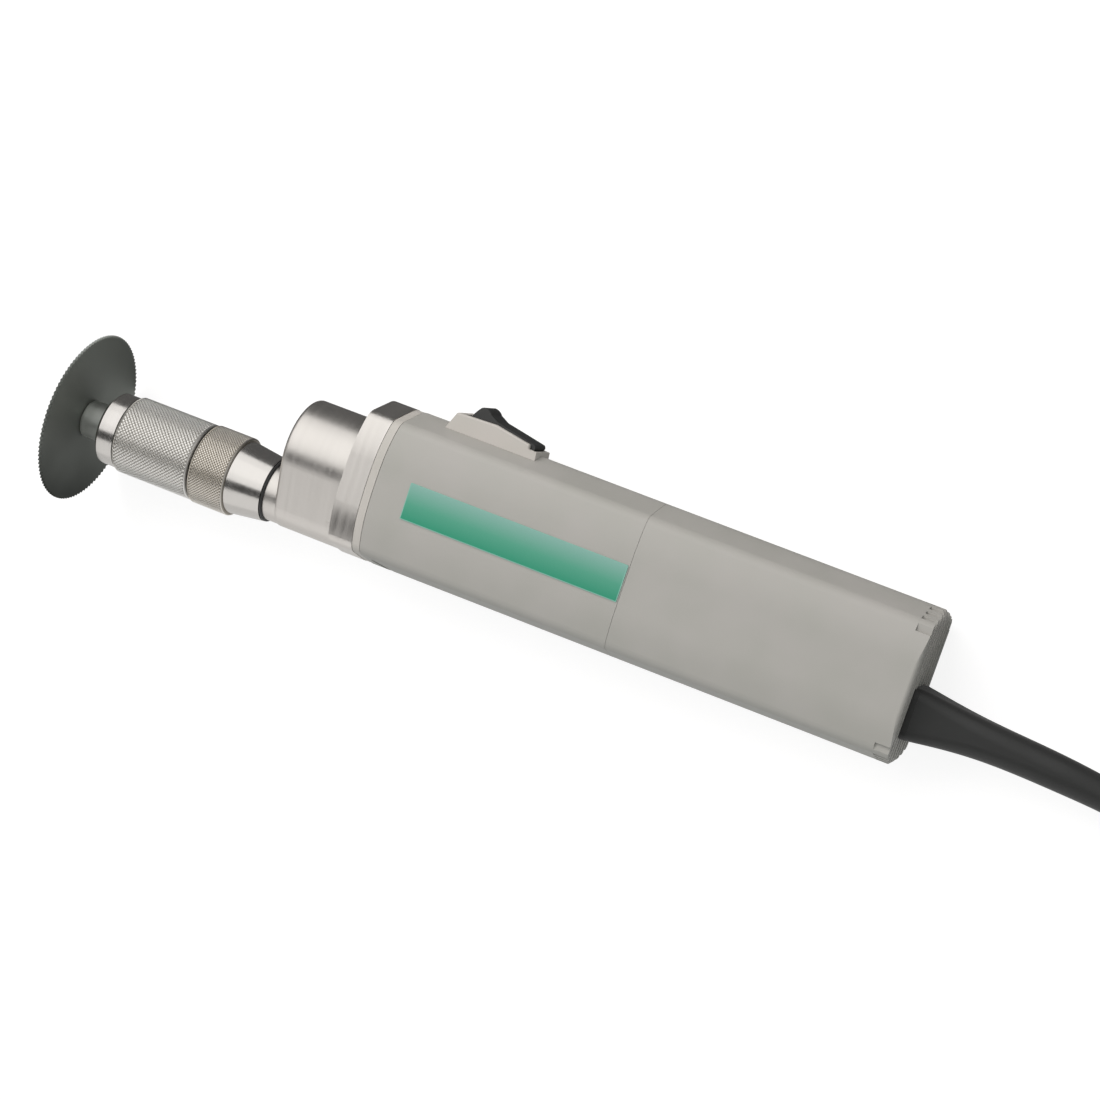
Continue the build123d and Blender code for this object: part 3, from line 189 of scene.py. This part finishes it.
def node(tree, kind, settings=None, inputs=None):
    # Adds a node, sets its properties, and gives its inputs a value or a link from another socket
    made = tree.nodes.new(kind)
    for name, value in (settings or {}).items():
        setattr(made, name, value)
    for name, value in (inputs or {}).items():
        if isinstance(value, bpy.types.NodeSocket):
            tree.links.new(value, made.inputs[name])
        else:
            made.inputs[name].default_value = value
    return made


def emptyMaterial(name):
    material = bpy.data.materials.new(name)
    material.use_nodes = True
    material.node_tree.nodes.clear()
    return material, material.node_tree


def newMaterial(name, colour, metallic=0.0):
    material, tree = emptyMaterial(name)
    material.diffuse_color = linear(colour)
    shader = node(tree, "ShaderNodeBsdfPrincipled", None, {
        "Base Color": linear(colour),
        "Metallic": metallic,
    })
    node(tree, "ShaderNodeOutputMaterial", None, {"Surface": shader.outputs[0]})
    return material, tree, shader


def toolCoordinates(tree, stretch=None):
    # Object coordinates turned so that x runs along the tool's axis, then stretched
    turned = node(tree, "ShaderNodeMapping", {"vector_type": "TEXTURE"}, {
        "Vector": node(tree, "ShaderNodeTexCoord").outputs["Object"],
        "Location": tuple(toolOrigin),
        "Rotation": tuple(toolAxes.to_euler()),
    }).outputs["Vector"]
    if stretch is None:
        return turned
    return node(tree, "ShaderNodeMapping", None, {"Vector": turned, "Scale": stretch}).outputs["Vector"]


def blend(tree, value, start, end, startColour, endColour):
    # Colour that goes from one to the other while the value goes from start to end
    share = node(tree, "ShaderNodeMapRange", None, {"Value": value, "From Min": start, "From Max": end})
    mixed = node(tree, "ShaderNodeMix", {"data_type": "RGBA"}, {
        "Factor": share.outputs["Result"],
        6: startColour,
        7: endColour,
    })
    return mixed.outputs[2]


def uneven(tree, shader, source, roughness, spread):
    # Roughness that wanders with a noise, as handling and wear leave it; the noise mostly lies in 0.2 to 0.8
    mapped = node(tree, "ShaderNodeMapRange", {"interpolation_type": "SMOOTHSTEP"}, {
        "Value": source,
        "From Min": 0.2,
        "From Max": 0.8,
        "To Min": roughness - spread,
        "To Max": roughness + spread,
    })
    tree.links.new(mapped.outputs["Result"], shader.inputs["Roughness"])


def mouldedPlastic(name, light, dark, roughness, grainMm, grain):
    # Plastic moulded in a spark-eroded tool: nearly even colour, a matt grain and a broad soft sheen
    material, tree, shader = newMaterial(name, light)
    place = node(tree, "ShaderNodeTexCoord").outputs["Object"]
    cloudMm = 22
    clouds = node(tree, "ShaderNodeTexNoise", None, {
        "Vector": place,
        "Scale": 1000 / cloudMm,
        "Detail": 2.0,
    })
    fine = node(tree, "ShaderNodeTexNoise", None, {
        "Vector": place,
        "Scale": 1000 / grainMm,
        "Detail": 1.0,
        "Roughness": 0.6,
    })
    colour = blend(tree, clouds.outputs["Fac"], 0.35, 0.65, linear(dark), linear(light))
    tree.links.new(colour, shader.inputs["Base Color"])
    bump = node(tree, "ShaderNodeBump", None, {
        "Height": fine.outputs["Fac"],
        "Strength": grain,
        "Distance": reliefMetres,
    })
    tree.links.new(bump.outputs["Normal"], shader.inputs["Normal"])
    uneven(tree, shader, clouds.outputs["Fac"], roughness, spread=0.05)
    shader.inputs["IOR"].default_value = 1.53  # of ABS
    return material


def turnedMetal(name, colour, roughness, ringMm, depth):
    # Metal turned on a lathe: rings round the axis that feather the reflections; drawn coarse enough to show
    material, tree, shader = newMaterial(name, colour, 1.0)
    acrossPerMetre = 14.0  # a ring hardly changes on its way round
    rings = node(tree, "ShaderNodeTexNoise", None, {
        "Vector": toolCoordinates(tree, (1000 / ringMm, acrossPerMetre, acrossPerMetre)),
        "Scale": 1.0,
        "Detail": 1.0,
    })
    bump = node(tree, "ShaderNodeBump", None, {
        "Height": rings.outputs["Fac"],
        "Strength": depth,
        "Distance": reliefMetres,
    })
    tree.links.new(bump.outputs["Normal"], shader.inputs["Normal"])
    uneven(tree, shader, rings.outputs["Fac"], roughness, spread=0.04)
    return material


def beltedCasting(name, colour, roughness, scratchMm, depth):
    # Die-cast aluminium finished on an abrasive belt: scratches across the tool, drawn coarse enough to show
    material, tree, shader = newMaterial(name, colour, 1.0)
    acrossPerMetre = 9.0  # a scratch is long
    scratches = node(tree, "ShaderNodeTexNoise", None, {
        "Vector": toolCoordinates(tree, (1000 / scratchMm, acrossPerMetre, acrossPerMetre)),
        "Scale": 1.0,
        "Detail": 1.0,
    })
    bump = node(tree, "ShaderNodeBump", None, {
        "Height": scratches.outputs["Fac"],
        "Strength": depth,
        "Distance": reliefMetres,
    })
    tree.links.new(bump.outputs["Normal"], shader.inputs["Normal"])
    uneven(tree, shader, scratches.outputs["Fac"], roughness, spread=0.045)
    return material


def bladeWithPaintedLight(name, lower, upper, roughness, reachMm):
    # Black oxide on rolled steel, with painted light: the colour goes lighter toward the switch side, as
    # light falling from there would make it
    material, tree, shader = newMaterial(name, lower, 1.0)
    axes = node(tree, "ShaderNodeSeparateXYZ", None, {"Vector": toolCoordinates(tree)})
    reach = reachMm / 1000
    # Painted light: darker toward the floor side, lighter toward the switch side
    shade = blend(tree, axes.outputs["Z"], -reach, reach, linear(lower), linear(upper))
    tree.links.new(shade, shader.inputs["Base Color"])
    patchMm = 18
    patches = node(tree, "ShaderNodeTexNoise", None, {
        "Vector": toolCoordinates(tree),
        "Scale": 1000 / patchMm,
        "Detail": 1.0,
    })
    uneven(tree, shader, patches.outputs["Fac"], roughness, spread=0.05)
    return material


def knurledMetal(name, settings):
    # Rolled knurl with painted shade: the colour darkens toward the groove floors, where shade falls between
    # the pyramids, and the grooves are duller
    material, tree, shader = newMaterial(name, settings["crestColour"], 1.0)
    axes = node(tree, "ShaderNodeSeparateXYZ", None, {"Vector": toolCoordinates(tree)})
    across = node(tree, "ShaderNodeCombineXYZ", None, {"Y": axes.outputs["Y"], "Z": axes.outputs["Z"]})
    distance = node(tree, "ShaderNodeVectorMath", {"operation": "LENGTH"}, {0: across.outputs[0]})
    radius = distance.outputs["Value"]
    crest = settings["radius"] / 1000
    floor = (settings["radius"] - settings["depth"]) / 1000
    # The painted shade ends low on a facet: the colour goes over early, the roughness all the way up
    darkUpTo = floor + 0.05 * (crest - floor)
    brightFrom = floor + 0.45 * (crest - floor)
    grooveShadeColour = linear(settings["grooveShadeColour"])
    crestColour = linear(settings["crestColour"])
    shade = blend(tree, radius, darkUpTo, brightFrom, grooveShadeColour, crestColour)
    tree.links.new(shade, shader.inputs["Base Color"])
    grooveDuller = 0.2
    dull = node(tree, "ShaderNodeMapRange", None, {
        "Value": radius,
        "From Min": floor,
        "From Max": crest,
        "To Min": settings["roughness"] + grooveDuller,
        "To Max": settings["roughness"],
    })
    tree.links.new(dull.outputs["Result"], shader.inputs["Roughness"])
    return material


def plainMoulding(name, colour, roughness, grainMm, grain, sheen=0.0):
    # Rubber or plastic with a faint grain and patches that shine a little more where fingers rubbed them
    material, tree, shader = newMaterial(name, colour)
    place = node(tree, "ShaderNodeTexCoord").outputs["Object"]
    rubbedMm = 14
    fine = node(tree, "ShaderNodeTexNoise", None, {
        "Vector": place,
        "Scale": 1000 / grainMm,
        "Detail": 3.0,
    })
    rubbed = node(tree, "ShaderNodeTexNoise", None, {
        "Vector": place,
        "Scale": 1000 / rubbedMm,
        "Detail": 2.0,
    })
    bump = node(tree, "ShaderNodeBump", None, {
        "Height": fine.outputs["Fac"],
        "Strength": grain,
        "Distance": 2 * reliefMetres,
    })
    tree.links.new(bump.outputs["Normal"], shader.inputs["Normal"])
    uneven(tree, shader, rubbed.outputs["Fac"], roughness, spread=0.06)
    shader.inputs["Sheen Weight"].default_value = sheen
    return material


def plainMetal(name, colour, roughness):
    # Machined metal as it comes from the tool, with small dull and bright patches
    material, tree, shader = newMaterial(name, colour, 1.0)
    place = node(tree, "ShaderNodeTexCoord").outputs["Object"]
    patchMm = 1.1
    patches = node(tree, "ShaderNodeTexNoise", None, {
        "Vector": place,
        "Scale": 1000 / patchMm,
        "Detail": 3.0,
    })
    uneven(tree, shader, patches.outputs["Fac"], roughness, spread=0.08)
    return material


film = {
    "lower": "#0f8a69",
    "middle": "#45997e",
    "upper": "#7eaca1",
    "middleAt": 0.45,   # share of the plate's height
    # painted highlight along the plate's edge
    "edge": "#7db2a3",
    "edgeMm": 0.3,
    "roughness": 0.36,
    "refraction": 1.6,  # of polyester
}


def printedFilm(name, plate):
    # Screen-printed polyester film: green that deepens toward the lower edge, with a painted highlight all
    # round the edge where the film's thickness would catch the light
    material, tree, shader = newMaterial(name, film["middle"])
    low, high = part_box(plate)
    place = node(tree, "ShaderNodeTexCoord").outputs["Object"]
    axes = node(tree, "ShaderNodeSeparateXYZ", None, {"Vector": place})
    turn = low[1] + film["middleAt"] * (high[1] - low[1])
    green = blend(tree, axes.outputs["Y"], low[1], turn, linear(film["lower"]), linear(film["middle"]))
    green = blend(tree, axes.outputs["Y"], turn, high[1], green, linear(film["upper"]))
    edges = []
    for axis in (0, 1):
        middle = (low[axis] + high[axis]) / 2
        inside = (high[axis] - low[axis]) / 2 - film["edgeMm"] / 1000
        offset = node(tree, "ShaderNodeMath", {"operation": "SUBTRACT"}, {0: axes.outputs[axis], 1: middle})
        distance = node(tree, "ShaderNodeMath", {"operation": "ABSOLUTE"}, {0: offset.outputs[0]})
        beyond = node(tree, "ShaderNodeMath", {"operation": "GREATER_THAN"}, {
            0: distance.outputs[0],
            1: inside,
        })
        edges.append(beyond.outputs[0])
    # Painted highlight: a thin paler band along the plate's edge
    edgeHighlightMask = node(tree, "ShaderNodeMath", {"operation": "MAXIMUM"}, {0: edges[0], 1: edges[1]})
    colour = blend(tree, edgeHighlightMask.outputs[0], 0.0, 1.0, green, linear(film["edge"]))
    tree.links.new(colour, shader.inputs["Base Color"])
    shader.inputs["Roughness"].default_value = film["roughness"]
    shader.inputs["IOR"].default_value = film["refraction"]
    return material


finishes = {
    # name, colours, roughness, then the size of the grain in millimetres and how strong it is; for the blade,
    # how far in millimetres from the middle its colour goes on changing
    "housing": mouldedPlastic("mouldedAbsGrey", "#a8a7a2", "#a4a49e", 0.5, 0.6, 0.12),
    "bezel": mouldedPlastic("mouldedAbsPale", "#bdbab4", "#b9b7b0", 0.45, 0.6, 0.08),
    # the blade's second colour is painted light on its switch side
    "blade": bladeWithPaintedLight("blackenedBladeSteel", "#464945", "#a6aaa4", 0.62, 30.4),
    "hub": turnedMetal("blackenedHubSteel", "#d6d8d3", 0.42, 1.6, 0.05),
    "nose": turnedMetal("turnedAluminium", "#e3dfda", 0.21, 1.6, 0.04),
    "casting": beltedCasting("beltedAluminiumCasting", "#e6e1db", 0.34, 1.6, 0.05),
    "steel": plainMetal("brightSteel", "#b5b5b2", 0.37),
    "bronze": plainMetal("sinteredBronze", "#b08a4f", 0.45),
    "brass": plainMetal("nickelledBrass", "#c9c2b0", 0.37),
    "copper": plainMetal("enamelledCopper", "#b4623c", 0.38),
    "lamination": plainMetal("laminationSteel", "#4a4b4d", 0.5),
    "rubber": plainMoulding("mouldedRubber", "#202120", 0.5, 1.1, 0.15, 0.15),
    "lead": plainMoulding("extrudedRubber", "#202120", 0.5, 1.1, 0.12, 0.15),
    "rocker": plainMoulding("mattPolyamide", "#303130", 0.5, 0.6, 0.08),
    "black": plainMoulding("mouldedPolyamide", "#232425", 0.42, 0.7, 0.12),
    "carbon": plainMoulding("pressedCarbon", "#2a2a2b", 0.6, 0.7, 0.12),
    "label": printedFilm("printedPolyesterFilm", "label_plate"),
}
nodeFinishes = {
    "housing": ["front_housing", "rear_housing"],
    "bezel": ["front_bezel", "switch_surround", "terminal_block"],
    "blade": ["blade"],
    "hub": ["spindle", "clamp_washer"],
    "nose": ["nose_ring", "nose_tube", "taper_collar"],
    "casting": ["gearcase", "bearing_plate"],
    "steel": [
        "blade_screw", "drive_fork", "fork_pin", "motor_shaft", "crank_bearing", "counterweight",
        "front_bearing", "rear_bearing", "flange_screws", "clamp_screws", "housing_screws",
        "switch_pin", "brush_springs",
    ],
    "bronze": ["front_bush", "rear_bush", "brush_holders"],
    "brass": ["plug_pins"],
    "copper": ["field_coils", "armature_windings", "commutator"],
    "lamination": ["stator_core", "armature_core"],
    "rubber": ["seal_ring", "strain_relief"],
    "lead": ["inner_lead"],
    "rocker": ["switch_rocker"],
    "black": ["switch_module", "fan", "brush_frame", "capacitor", "cord_clamp", "plug_body"],
    "carbon": ["brushes"],
    "label": ["label_plate"],
}


def giveMaterial(piece, material):
    piece.data.materials.clear()
    piece.data.materials.append(material)


for finish, names in nodeFinishes.items():
    for name in names:
        giveMaterial(nodes[name], finishes[finish])
giveMaterial(mainsLead, finishes["lead"])
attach(mainsLead, "saw_body")
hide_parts("mains_cord", "cord_coil", "plug_lead")
print("stage: materials,", len(finishes))

# Knurled sleeves: a turned sleeve with rows of small flat-topped pyramids, sizes in the tool's millimetres
knurls = {
    "gripSleeve": {
        "node": "grip_sleeve",
        "body": "saw_body",
        "front": 19.1,
        "rear": 51.5,
        "radius": 14.75,
        "bore": 11.15,
        "frontChamfer": 1.0,
        "rearChamfer": 0.7,
        "depth": 0.5,
        "around": 62,
        "rows": 40,
        "metal": "knurledAluminium",
        "crestColour": "#faf8f4",
        # painted shade toward the groove floors
        "grooveShadeColour": "#b5b2ad",
        "roughness": 0.28,
    },
    "lockRing": {
        "node": "lock_ring",
        "body": "lock_ring",
        "front": 52.4,
        "rear": 67.4,
        "radius": 15.15,
        "bore": 11.15,
        "frontChamfer": 0.5,
        "rearChamfer": 0.6,
        "depth": 0.42,
        "around": 76,
        "rows": 22,
        "metal": "knurledNickel",
        "crestColour": "#f3eee6",
        # painted shade toward the groove floors
        "grooveShadeColour": "#a8a298",
        "roughness": 0.28,
    },
}
sleeveSteps = 132  # flats round a sleeve
bandSlope = 0.15   # length of the step down to the knurled band
topShare = 0.42    # width of a pyramid's flat top in its own width


def sleeveMesh(name, settings):
    # Sleeve with chamfered ends and a sunken band for the knurl
    low = settings["front"] + settings["frontChamfer"]
    high = settings["rear"] - settings["rearChamfer"]
    radius = settings["radius"]
    band = radius - settings["depth"]
    outline = [
        (settings["front"], settings["bore"]),
        (settings["front"], radius - settings["frontChamfer"]),
        (low, radius),
        (low + bandSlope, band),
        (high - bandSlope, band),
        (high, radius),
        (settings["rear"], radius - settings["rearChamfer"]),
        (settings["rear"], settings["bore"]),
    ]
    build = bmesh.new()
    rows = []
    for step in range(sleeveSteps):
        angle = 2 * math.pi * step / sleeveSteps
        rows.append([build.verts.new((x, r * math.cos(angle), r * math.sin(angle))) for x, r in outline])
    for step in range(sleeveSteps):
        here, after = rows[step], rows[(step + 1) % sleeveSteps]
        for i in range(len(outline)):
            j = (i + 1) % len(outline)
            build.faces.new((here[i], here[j], after[j], after[i]))
    bmesh.ops.recalc_face_normals(build, faces=build.faces)
    mesh = bpy.data.meshes.new(name)
    build.to_mesh(mesh)
    build.free()
    return mesh


knurlInputs = {
    "Front": "Float",     # start of the band
    "Length": "Float",    # length of the band
    "Radius": "Float",    # radius of the band's floor
    "Depth": "Float",     # height of a pyramid
    "Top": "Float",       # width of its flat top in its own width
    "Around": "Int",      # pyramids in a row
    "Rows": "Int",
    "Material": "Material",
}
knurlSums = [
    # result, operation and its terms: an input, an earlier result or a number
    ("count", "MULTIPLY", "Around", "Rows"),
    ("halfOn", "ADD", "Index", 0.5),
    ("rowsDone", "DIVIDE", "halfOn", "Around"),
    ("row", "FLOOR", "rowsDone"),
    ("rowStart", "MULTIPLY", "row", "Around"),
    ("column", "SUBTRACT", "Index", "rowStart"),
    ("oddRow", "MODULO", "row", 2),
    ("stagger", "MULTIPLY", "oddRow", 0.5),
    ("staggered", "ADD", "column", "stagger"),
    ("turnShare", "DIVIDE", "staggered", "Around"),
    ("angle", "MULTIPLY", "turnShare", 2 * math.pi),
    ("gaps", "ADD", "Rows", 1),
    ("pitch", "DIVIDE", "Length", "gaps"),
    ("rowNumber", "ADD", "row", 1),
    ("along", "MULTIPLY", "rowNumber", "pitch"),
    ("x", "ADD", "Front", "along"),
    ("cosine", "COSINE", "angle"),
    ("y", "MULTIPLY", "Radius", "cosine"),
    ("sine", "SINE", "angle"),
    ("z", "MULTIPLY", "Radius", "sine"),
    ("girth", "MULTIPLY", "Radius", 2 * math.pi),
    ("width", "DIVIDE", "girth", "Around"),
    ("length", "MULTIPLY", "pitch", 2),
    ("topRadius", "MULTIPLY", "Top", 0.5),
    ("upright", "SUBTRACT", "angle", math.pi / 2),
]


def knurlTree():
    # Puts a pyramid on every place of a staggered grid round the tool's axis
    tree = bpy.data.node_groups.new("knurl", "GeometryNodeTree")
    tree.is_modifier = True
    tree.interface.new_socket("Geometry", in_out="INPUT", socket_type="NodeSocketGeometry")
    tree.interface.new_socket("Geometry", in_out="OUTPUT", socket_type="NodeSocketGeometry")
    for name, kind in knurlInputs.items():
        tree.interface.new_socket(name, in_out="INPUT", socket_type="NodeSocket" + kind)
    given = node(tree, "NodeGroupInput").outputs
    terms = {name: given[name] for name in knurlInputs}
    terms["Index"] = node(tree, "GeometryNodeInputIndex").outputs["Index"]
    for result, operation, *named in knurlSums:
        inputs = {place: terms.get(term, term) for place, term in enumerate(named)}
        terms[result] = node(tree, "ShaderNodeMath", {"operation": operation}, inputs).outputs[0]
    points = node(tree, "GeometryNodePoints", None, {"Count": terms["count"]})
    spot = node(tree, "ShaderNodeCombineXYZ", None, {"X": terms["x"], "Y": terms["y"], "Z": terms["z"]})
    placed = node(tree, "GeometryNodeSetPosition", None, {
        "Geometry": points.outputs[0],
        "Position": spot.outputs[0],
    })
    pyramid = node(tree, "GeometryNodeMeshCone", None, {
        "Vertices": 4,
        "Radius Bottom": 0.5,
        "Radius Top": terms["topRadius"],
        "Depth": 1.0,
    })
    turned = node(tree, "ShaderNodeCombineXYZ", None, {"X": terms["upright"]})
    size = node(tree, "ShaderNodeCombineXYZ", None, {
        "X": terms["length"],
        "Y": terms["width"],
        "Z": given["Depth"],
    })
    facets = node(tree, "GeometryNodeInstanceOnPoints", None, {
        "Points": placed.outputs[0],
        "Instance": pyramid.outputs["Mesh"],
        "Rotation": turned.outputs[0],
        "Scale": size.outputs[0],
    })
    joined = node(tree, "GeometryNodeJoinGeometry")
    tree.links.new(facets.outputs[0], joined.inputs[0])
    tree.links.new(given["Geometry"], joined.inputs[0])
    real = node(tree, "GeometryNodeRealizeInstances", None, {"Geometry": joined.outputs[0]})
    coated = node(tree, "GeometryNodeSetMaterial", None, {
        "Geometry": real.outputs[0],
        "Material": given["Material"],
    })
    node(tree, "NodeGroupOutput", None, {0: coated.outputs[0]})
    return tree


knurlNodes = knurlTree()
for name, settings in knurls.items():
    metal = knurledMetal(settings["metal"], settings)
    giveMaterial(nodes[settings["node"]], metal)
    piece = bpy.data.objects.new(name, sleeveMesh(name, settings))
    bpy.context.collection.objects.link(piece)
    low = settings["front"] + settings["frontChamfer"]
    high = settings["rear"] - settings["rearChamfer"]
    values = {
        "Front": low,
        "Length": high - low,
        "Radius": settings["radius"] - settings["depth"],
        "Depth": settings["depth"],
        "Top": topShare,
        "Around": settings["around"],
        "Rows": settings["rows"],
        "Material": metal,
    }
    modifier = piece.modifiers.new("knurl", "NODES")
    modifier.node_group = knurlNodes
    for item in knurlNodes.interface.items_tree:
        if item.in_out == "INPUT" and item.name in values:
            modifier[item.identifier] = values[item.name]
    evaluated = piece.evaluated_get(bpy.context.evaluated_depsgraph_get())
    mesh = bpy.data.meshes.new_from_object(evaluated)
    piece.modifiers.clear()
    mesh.transform(toolMatrix)
    piece.data = mesh
    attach(piece, settings["body"])
    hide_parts(settings["node"])
    print("stage:", name, len(mesh.polygons), "faces")

# Studio: white paper floor, white surroundings, a soft light overhead and a weak one from the low side
paper = {
    "reach": 3.0,
    "grey": 0.27,      # how much shadow the paper takes
    "glow": 0.835,     # what keeps it white to the eye
    "bounce": 0.6,     # its grey for light that it throws on the saw
    "skyLevel": 0.53,
}


def seenDirectly(tree):
    # One for rays from the camera, a mirror or clear glass: they see the plain white background
    rays = node(tree, "ShaderNodeLightPath").outputs
    plainSight = node(tree, "ShaderNodeMath", {"operation": "MAXIMUM"}, {
        0: rays["Is Camera Ray"],
        1: rays["Is Glossy Ray"],
    })
    throughGlass = node(tree, "ShaderNodeMath", {"operation": "MAXIMUM"}, {
        0: plainSight.outputs[0],
        1: rays["Is Transmission Ray"],
    })
    return throughGlass.outputs[0]


def stageSheet(name, corners, material):
    mesh = bpy.data.meshes.new(name)
    mesh.from_pydata(corners, [], [(0, 1, 2, 3)])
    sheet = bpy.data.objects.new(name, mesh)
    bpy.context.collection.objects.link(sheet)
    sheet.data.materials.append(material)
    return sheet


paperMaterial, paperTree = emptyMaterial("whitePaper")
grey, bounce, reach = paper["grey"], paper["bounce"], paper["reach"]
shade = node(paperTree, "ShaderNodeBsdfDiffuse", None, {"Color": (grey, grey, grey, 1)})
glow = node(paperTree, "ShaderNodeEmission", None, {"Strength": paper["glow"]})
both = node(paperTree, "ShaderNodeAddShader", None, {0: shade.outputs[0], 1: glow.outputs[0]})
plain = node(paperTree, "ShaderNodeBsdfDiffuse", None, {"Color": (bounce, bounce, bounce, 1)})
mixed = node(paperTree, "ShaderNodeMixShader", None, {
    "Fac": seenDirectly(paperTree),
    1: plain.outputs[0],
    2: both.outputs[0],
})
node(paperTree, "ShaderNodeOutputMaterial", None, {"Surface": mixed.outputs[0]})
floorCorners = [(-reach, -reach, 0), (reach, -reach, 0), (reach, reach, 0), (-reach, reach, 0)]
stageSheet("floor", floorCorners, paperMaterial)

world = bpy.data.worlds.new("studio")
bpy.context.scene.world = world
world.use_nodes = True
sky = world.node_tree
sky.nodes.clear()
white = (1, 1, 1, 1)
skyDim = node(sky, "ShaderNodeBackground", None, {"Color": white, "Strength": paper["skyLevel"]})
skyWhite = node(sky, "ShaderNodeBackground", None, {"Color": white, "Strength": 1.0})
skyMix = node(sky, "ShaderNodeMixShader", None, {
    "Fac": seenDirectly(sky),
    1: skyDim.outputs[0],
    2: skyWhite.outputs[0],
})
node(sky, "ShaderNodeOutputWorld", None, {"Surface": skyMix.outputs[0]})

# Cards round the saw that only reflections see: across the saw in y and z, metres, along one stretch of x
cards = {
    "windowCard": {"start": (0.19, 1.19), "end": (0.98, 0.69), "strength": 1.12},
    "overheadFlag": {"start": (-0.25, 1.17), "end": (-0.76, 0.94), "strength": 0.06},
    "sideCard": {"start": (-0.78, 0.93), "end": (-1.2, 0.02), "strength": 0.77},
    "sideFlag": {"start": (0.5, 0.11), "end": (0.5, 0.001), "strength": 0.1},
    "floorFlag": {"start": (0.0, 0.0008), "end": (0.5, 0.0008), "strength": 0.1},
    "floorCard": {"start": (-1.2, 0.0008), "end": (-0.001, 0.0008), "strength": 0.6},
}
cardFront, cardRear = -1.5, 0.9
endCards = {  # the darker room beyond both ends of the saw
    "places": {"frontEndCard": cardFront - 0.01, "rearEndCard": cardRear + 0.01},
    "halfWidth": 1.4,
    "low": 0.001,
    "high": 1.3,
    "strength": 0.3,
}


def studioCard(name, corners, strength):
    # Sheet that glows and that only reflections see
    material, tree = emptyMaterial(name)
    light = node(tree, "ShaderNodeEmission", None, {"Strength": strength})
    node(tree, "ShaderNodeOutputMaterial", None, {"Surface": light.outputs[0]})
    card = stageSheet(name, corners, material)
    card.visible_camera = False
    card.visible_diffuse = False
    card.visible_transmission = False
    card.visible_shadow = False


for name, settings in cards.items():
    (startY, startZ), (endY, endZ) = settings["start"], settings["end"]
    corners = [
        (cardFront, startY, startZ),
        (cardRear, startY, startZ),
        (cardRear, endY, endZ),
        (cardFront, endY, endZ),
    ]
    studioCard(name, corners, settings["strength"])
half, low, high = endCards["halfWidth"], endCards["low"], endCards["high"]
for name, x in endCards["places"].items():
    corners = [(x, -half, low), (x, half, low), (x, half, high), (x, -half, high)]
    studioCard(name, corners, endCards["strength"])

lamps = {
    "keySoftbox": {"at": (-0.5, 0.72, 1.15), "size": (1.2, 1.2), "watts": 15.6, "tint": "#fff8f6"},
    "lowFill": {"at": (0.3, -0.9, 0.4), "size": (0.9, 0.5), "watts": 0.5, "tint": "#f2fff6"},
}
for name, settings in lamps.items():
    lampData = bpy.data.lights.new(name, "AREA")
    lampData.shape = "RECTANGLE"
    lampData.size, lampData.size_y = settings["size"]
    lampData.energy = settings["watts"]
    lampData.color = linear(settings["tint"])[:3]
    lamp = bpy.data.objects.new(name, lampData)
    bpy.context.collection.objects.link(lamp)
    lamp.location = settings["at"]
    lamp.rotation_euler = (-lamp.location).to_track_quat("-Z", "Y").to_euler()
    lamp.visible_glossy = False  # the window card is what metal shows of it
print("stage: studio")

bpy.context.scene.view_settings.view_transform = "Standard"
print("stage: finish")
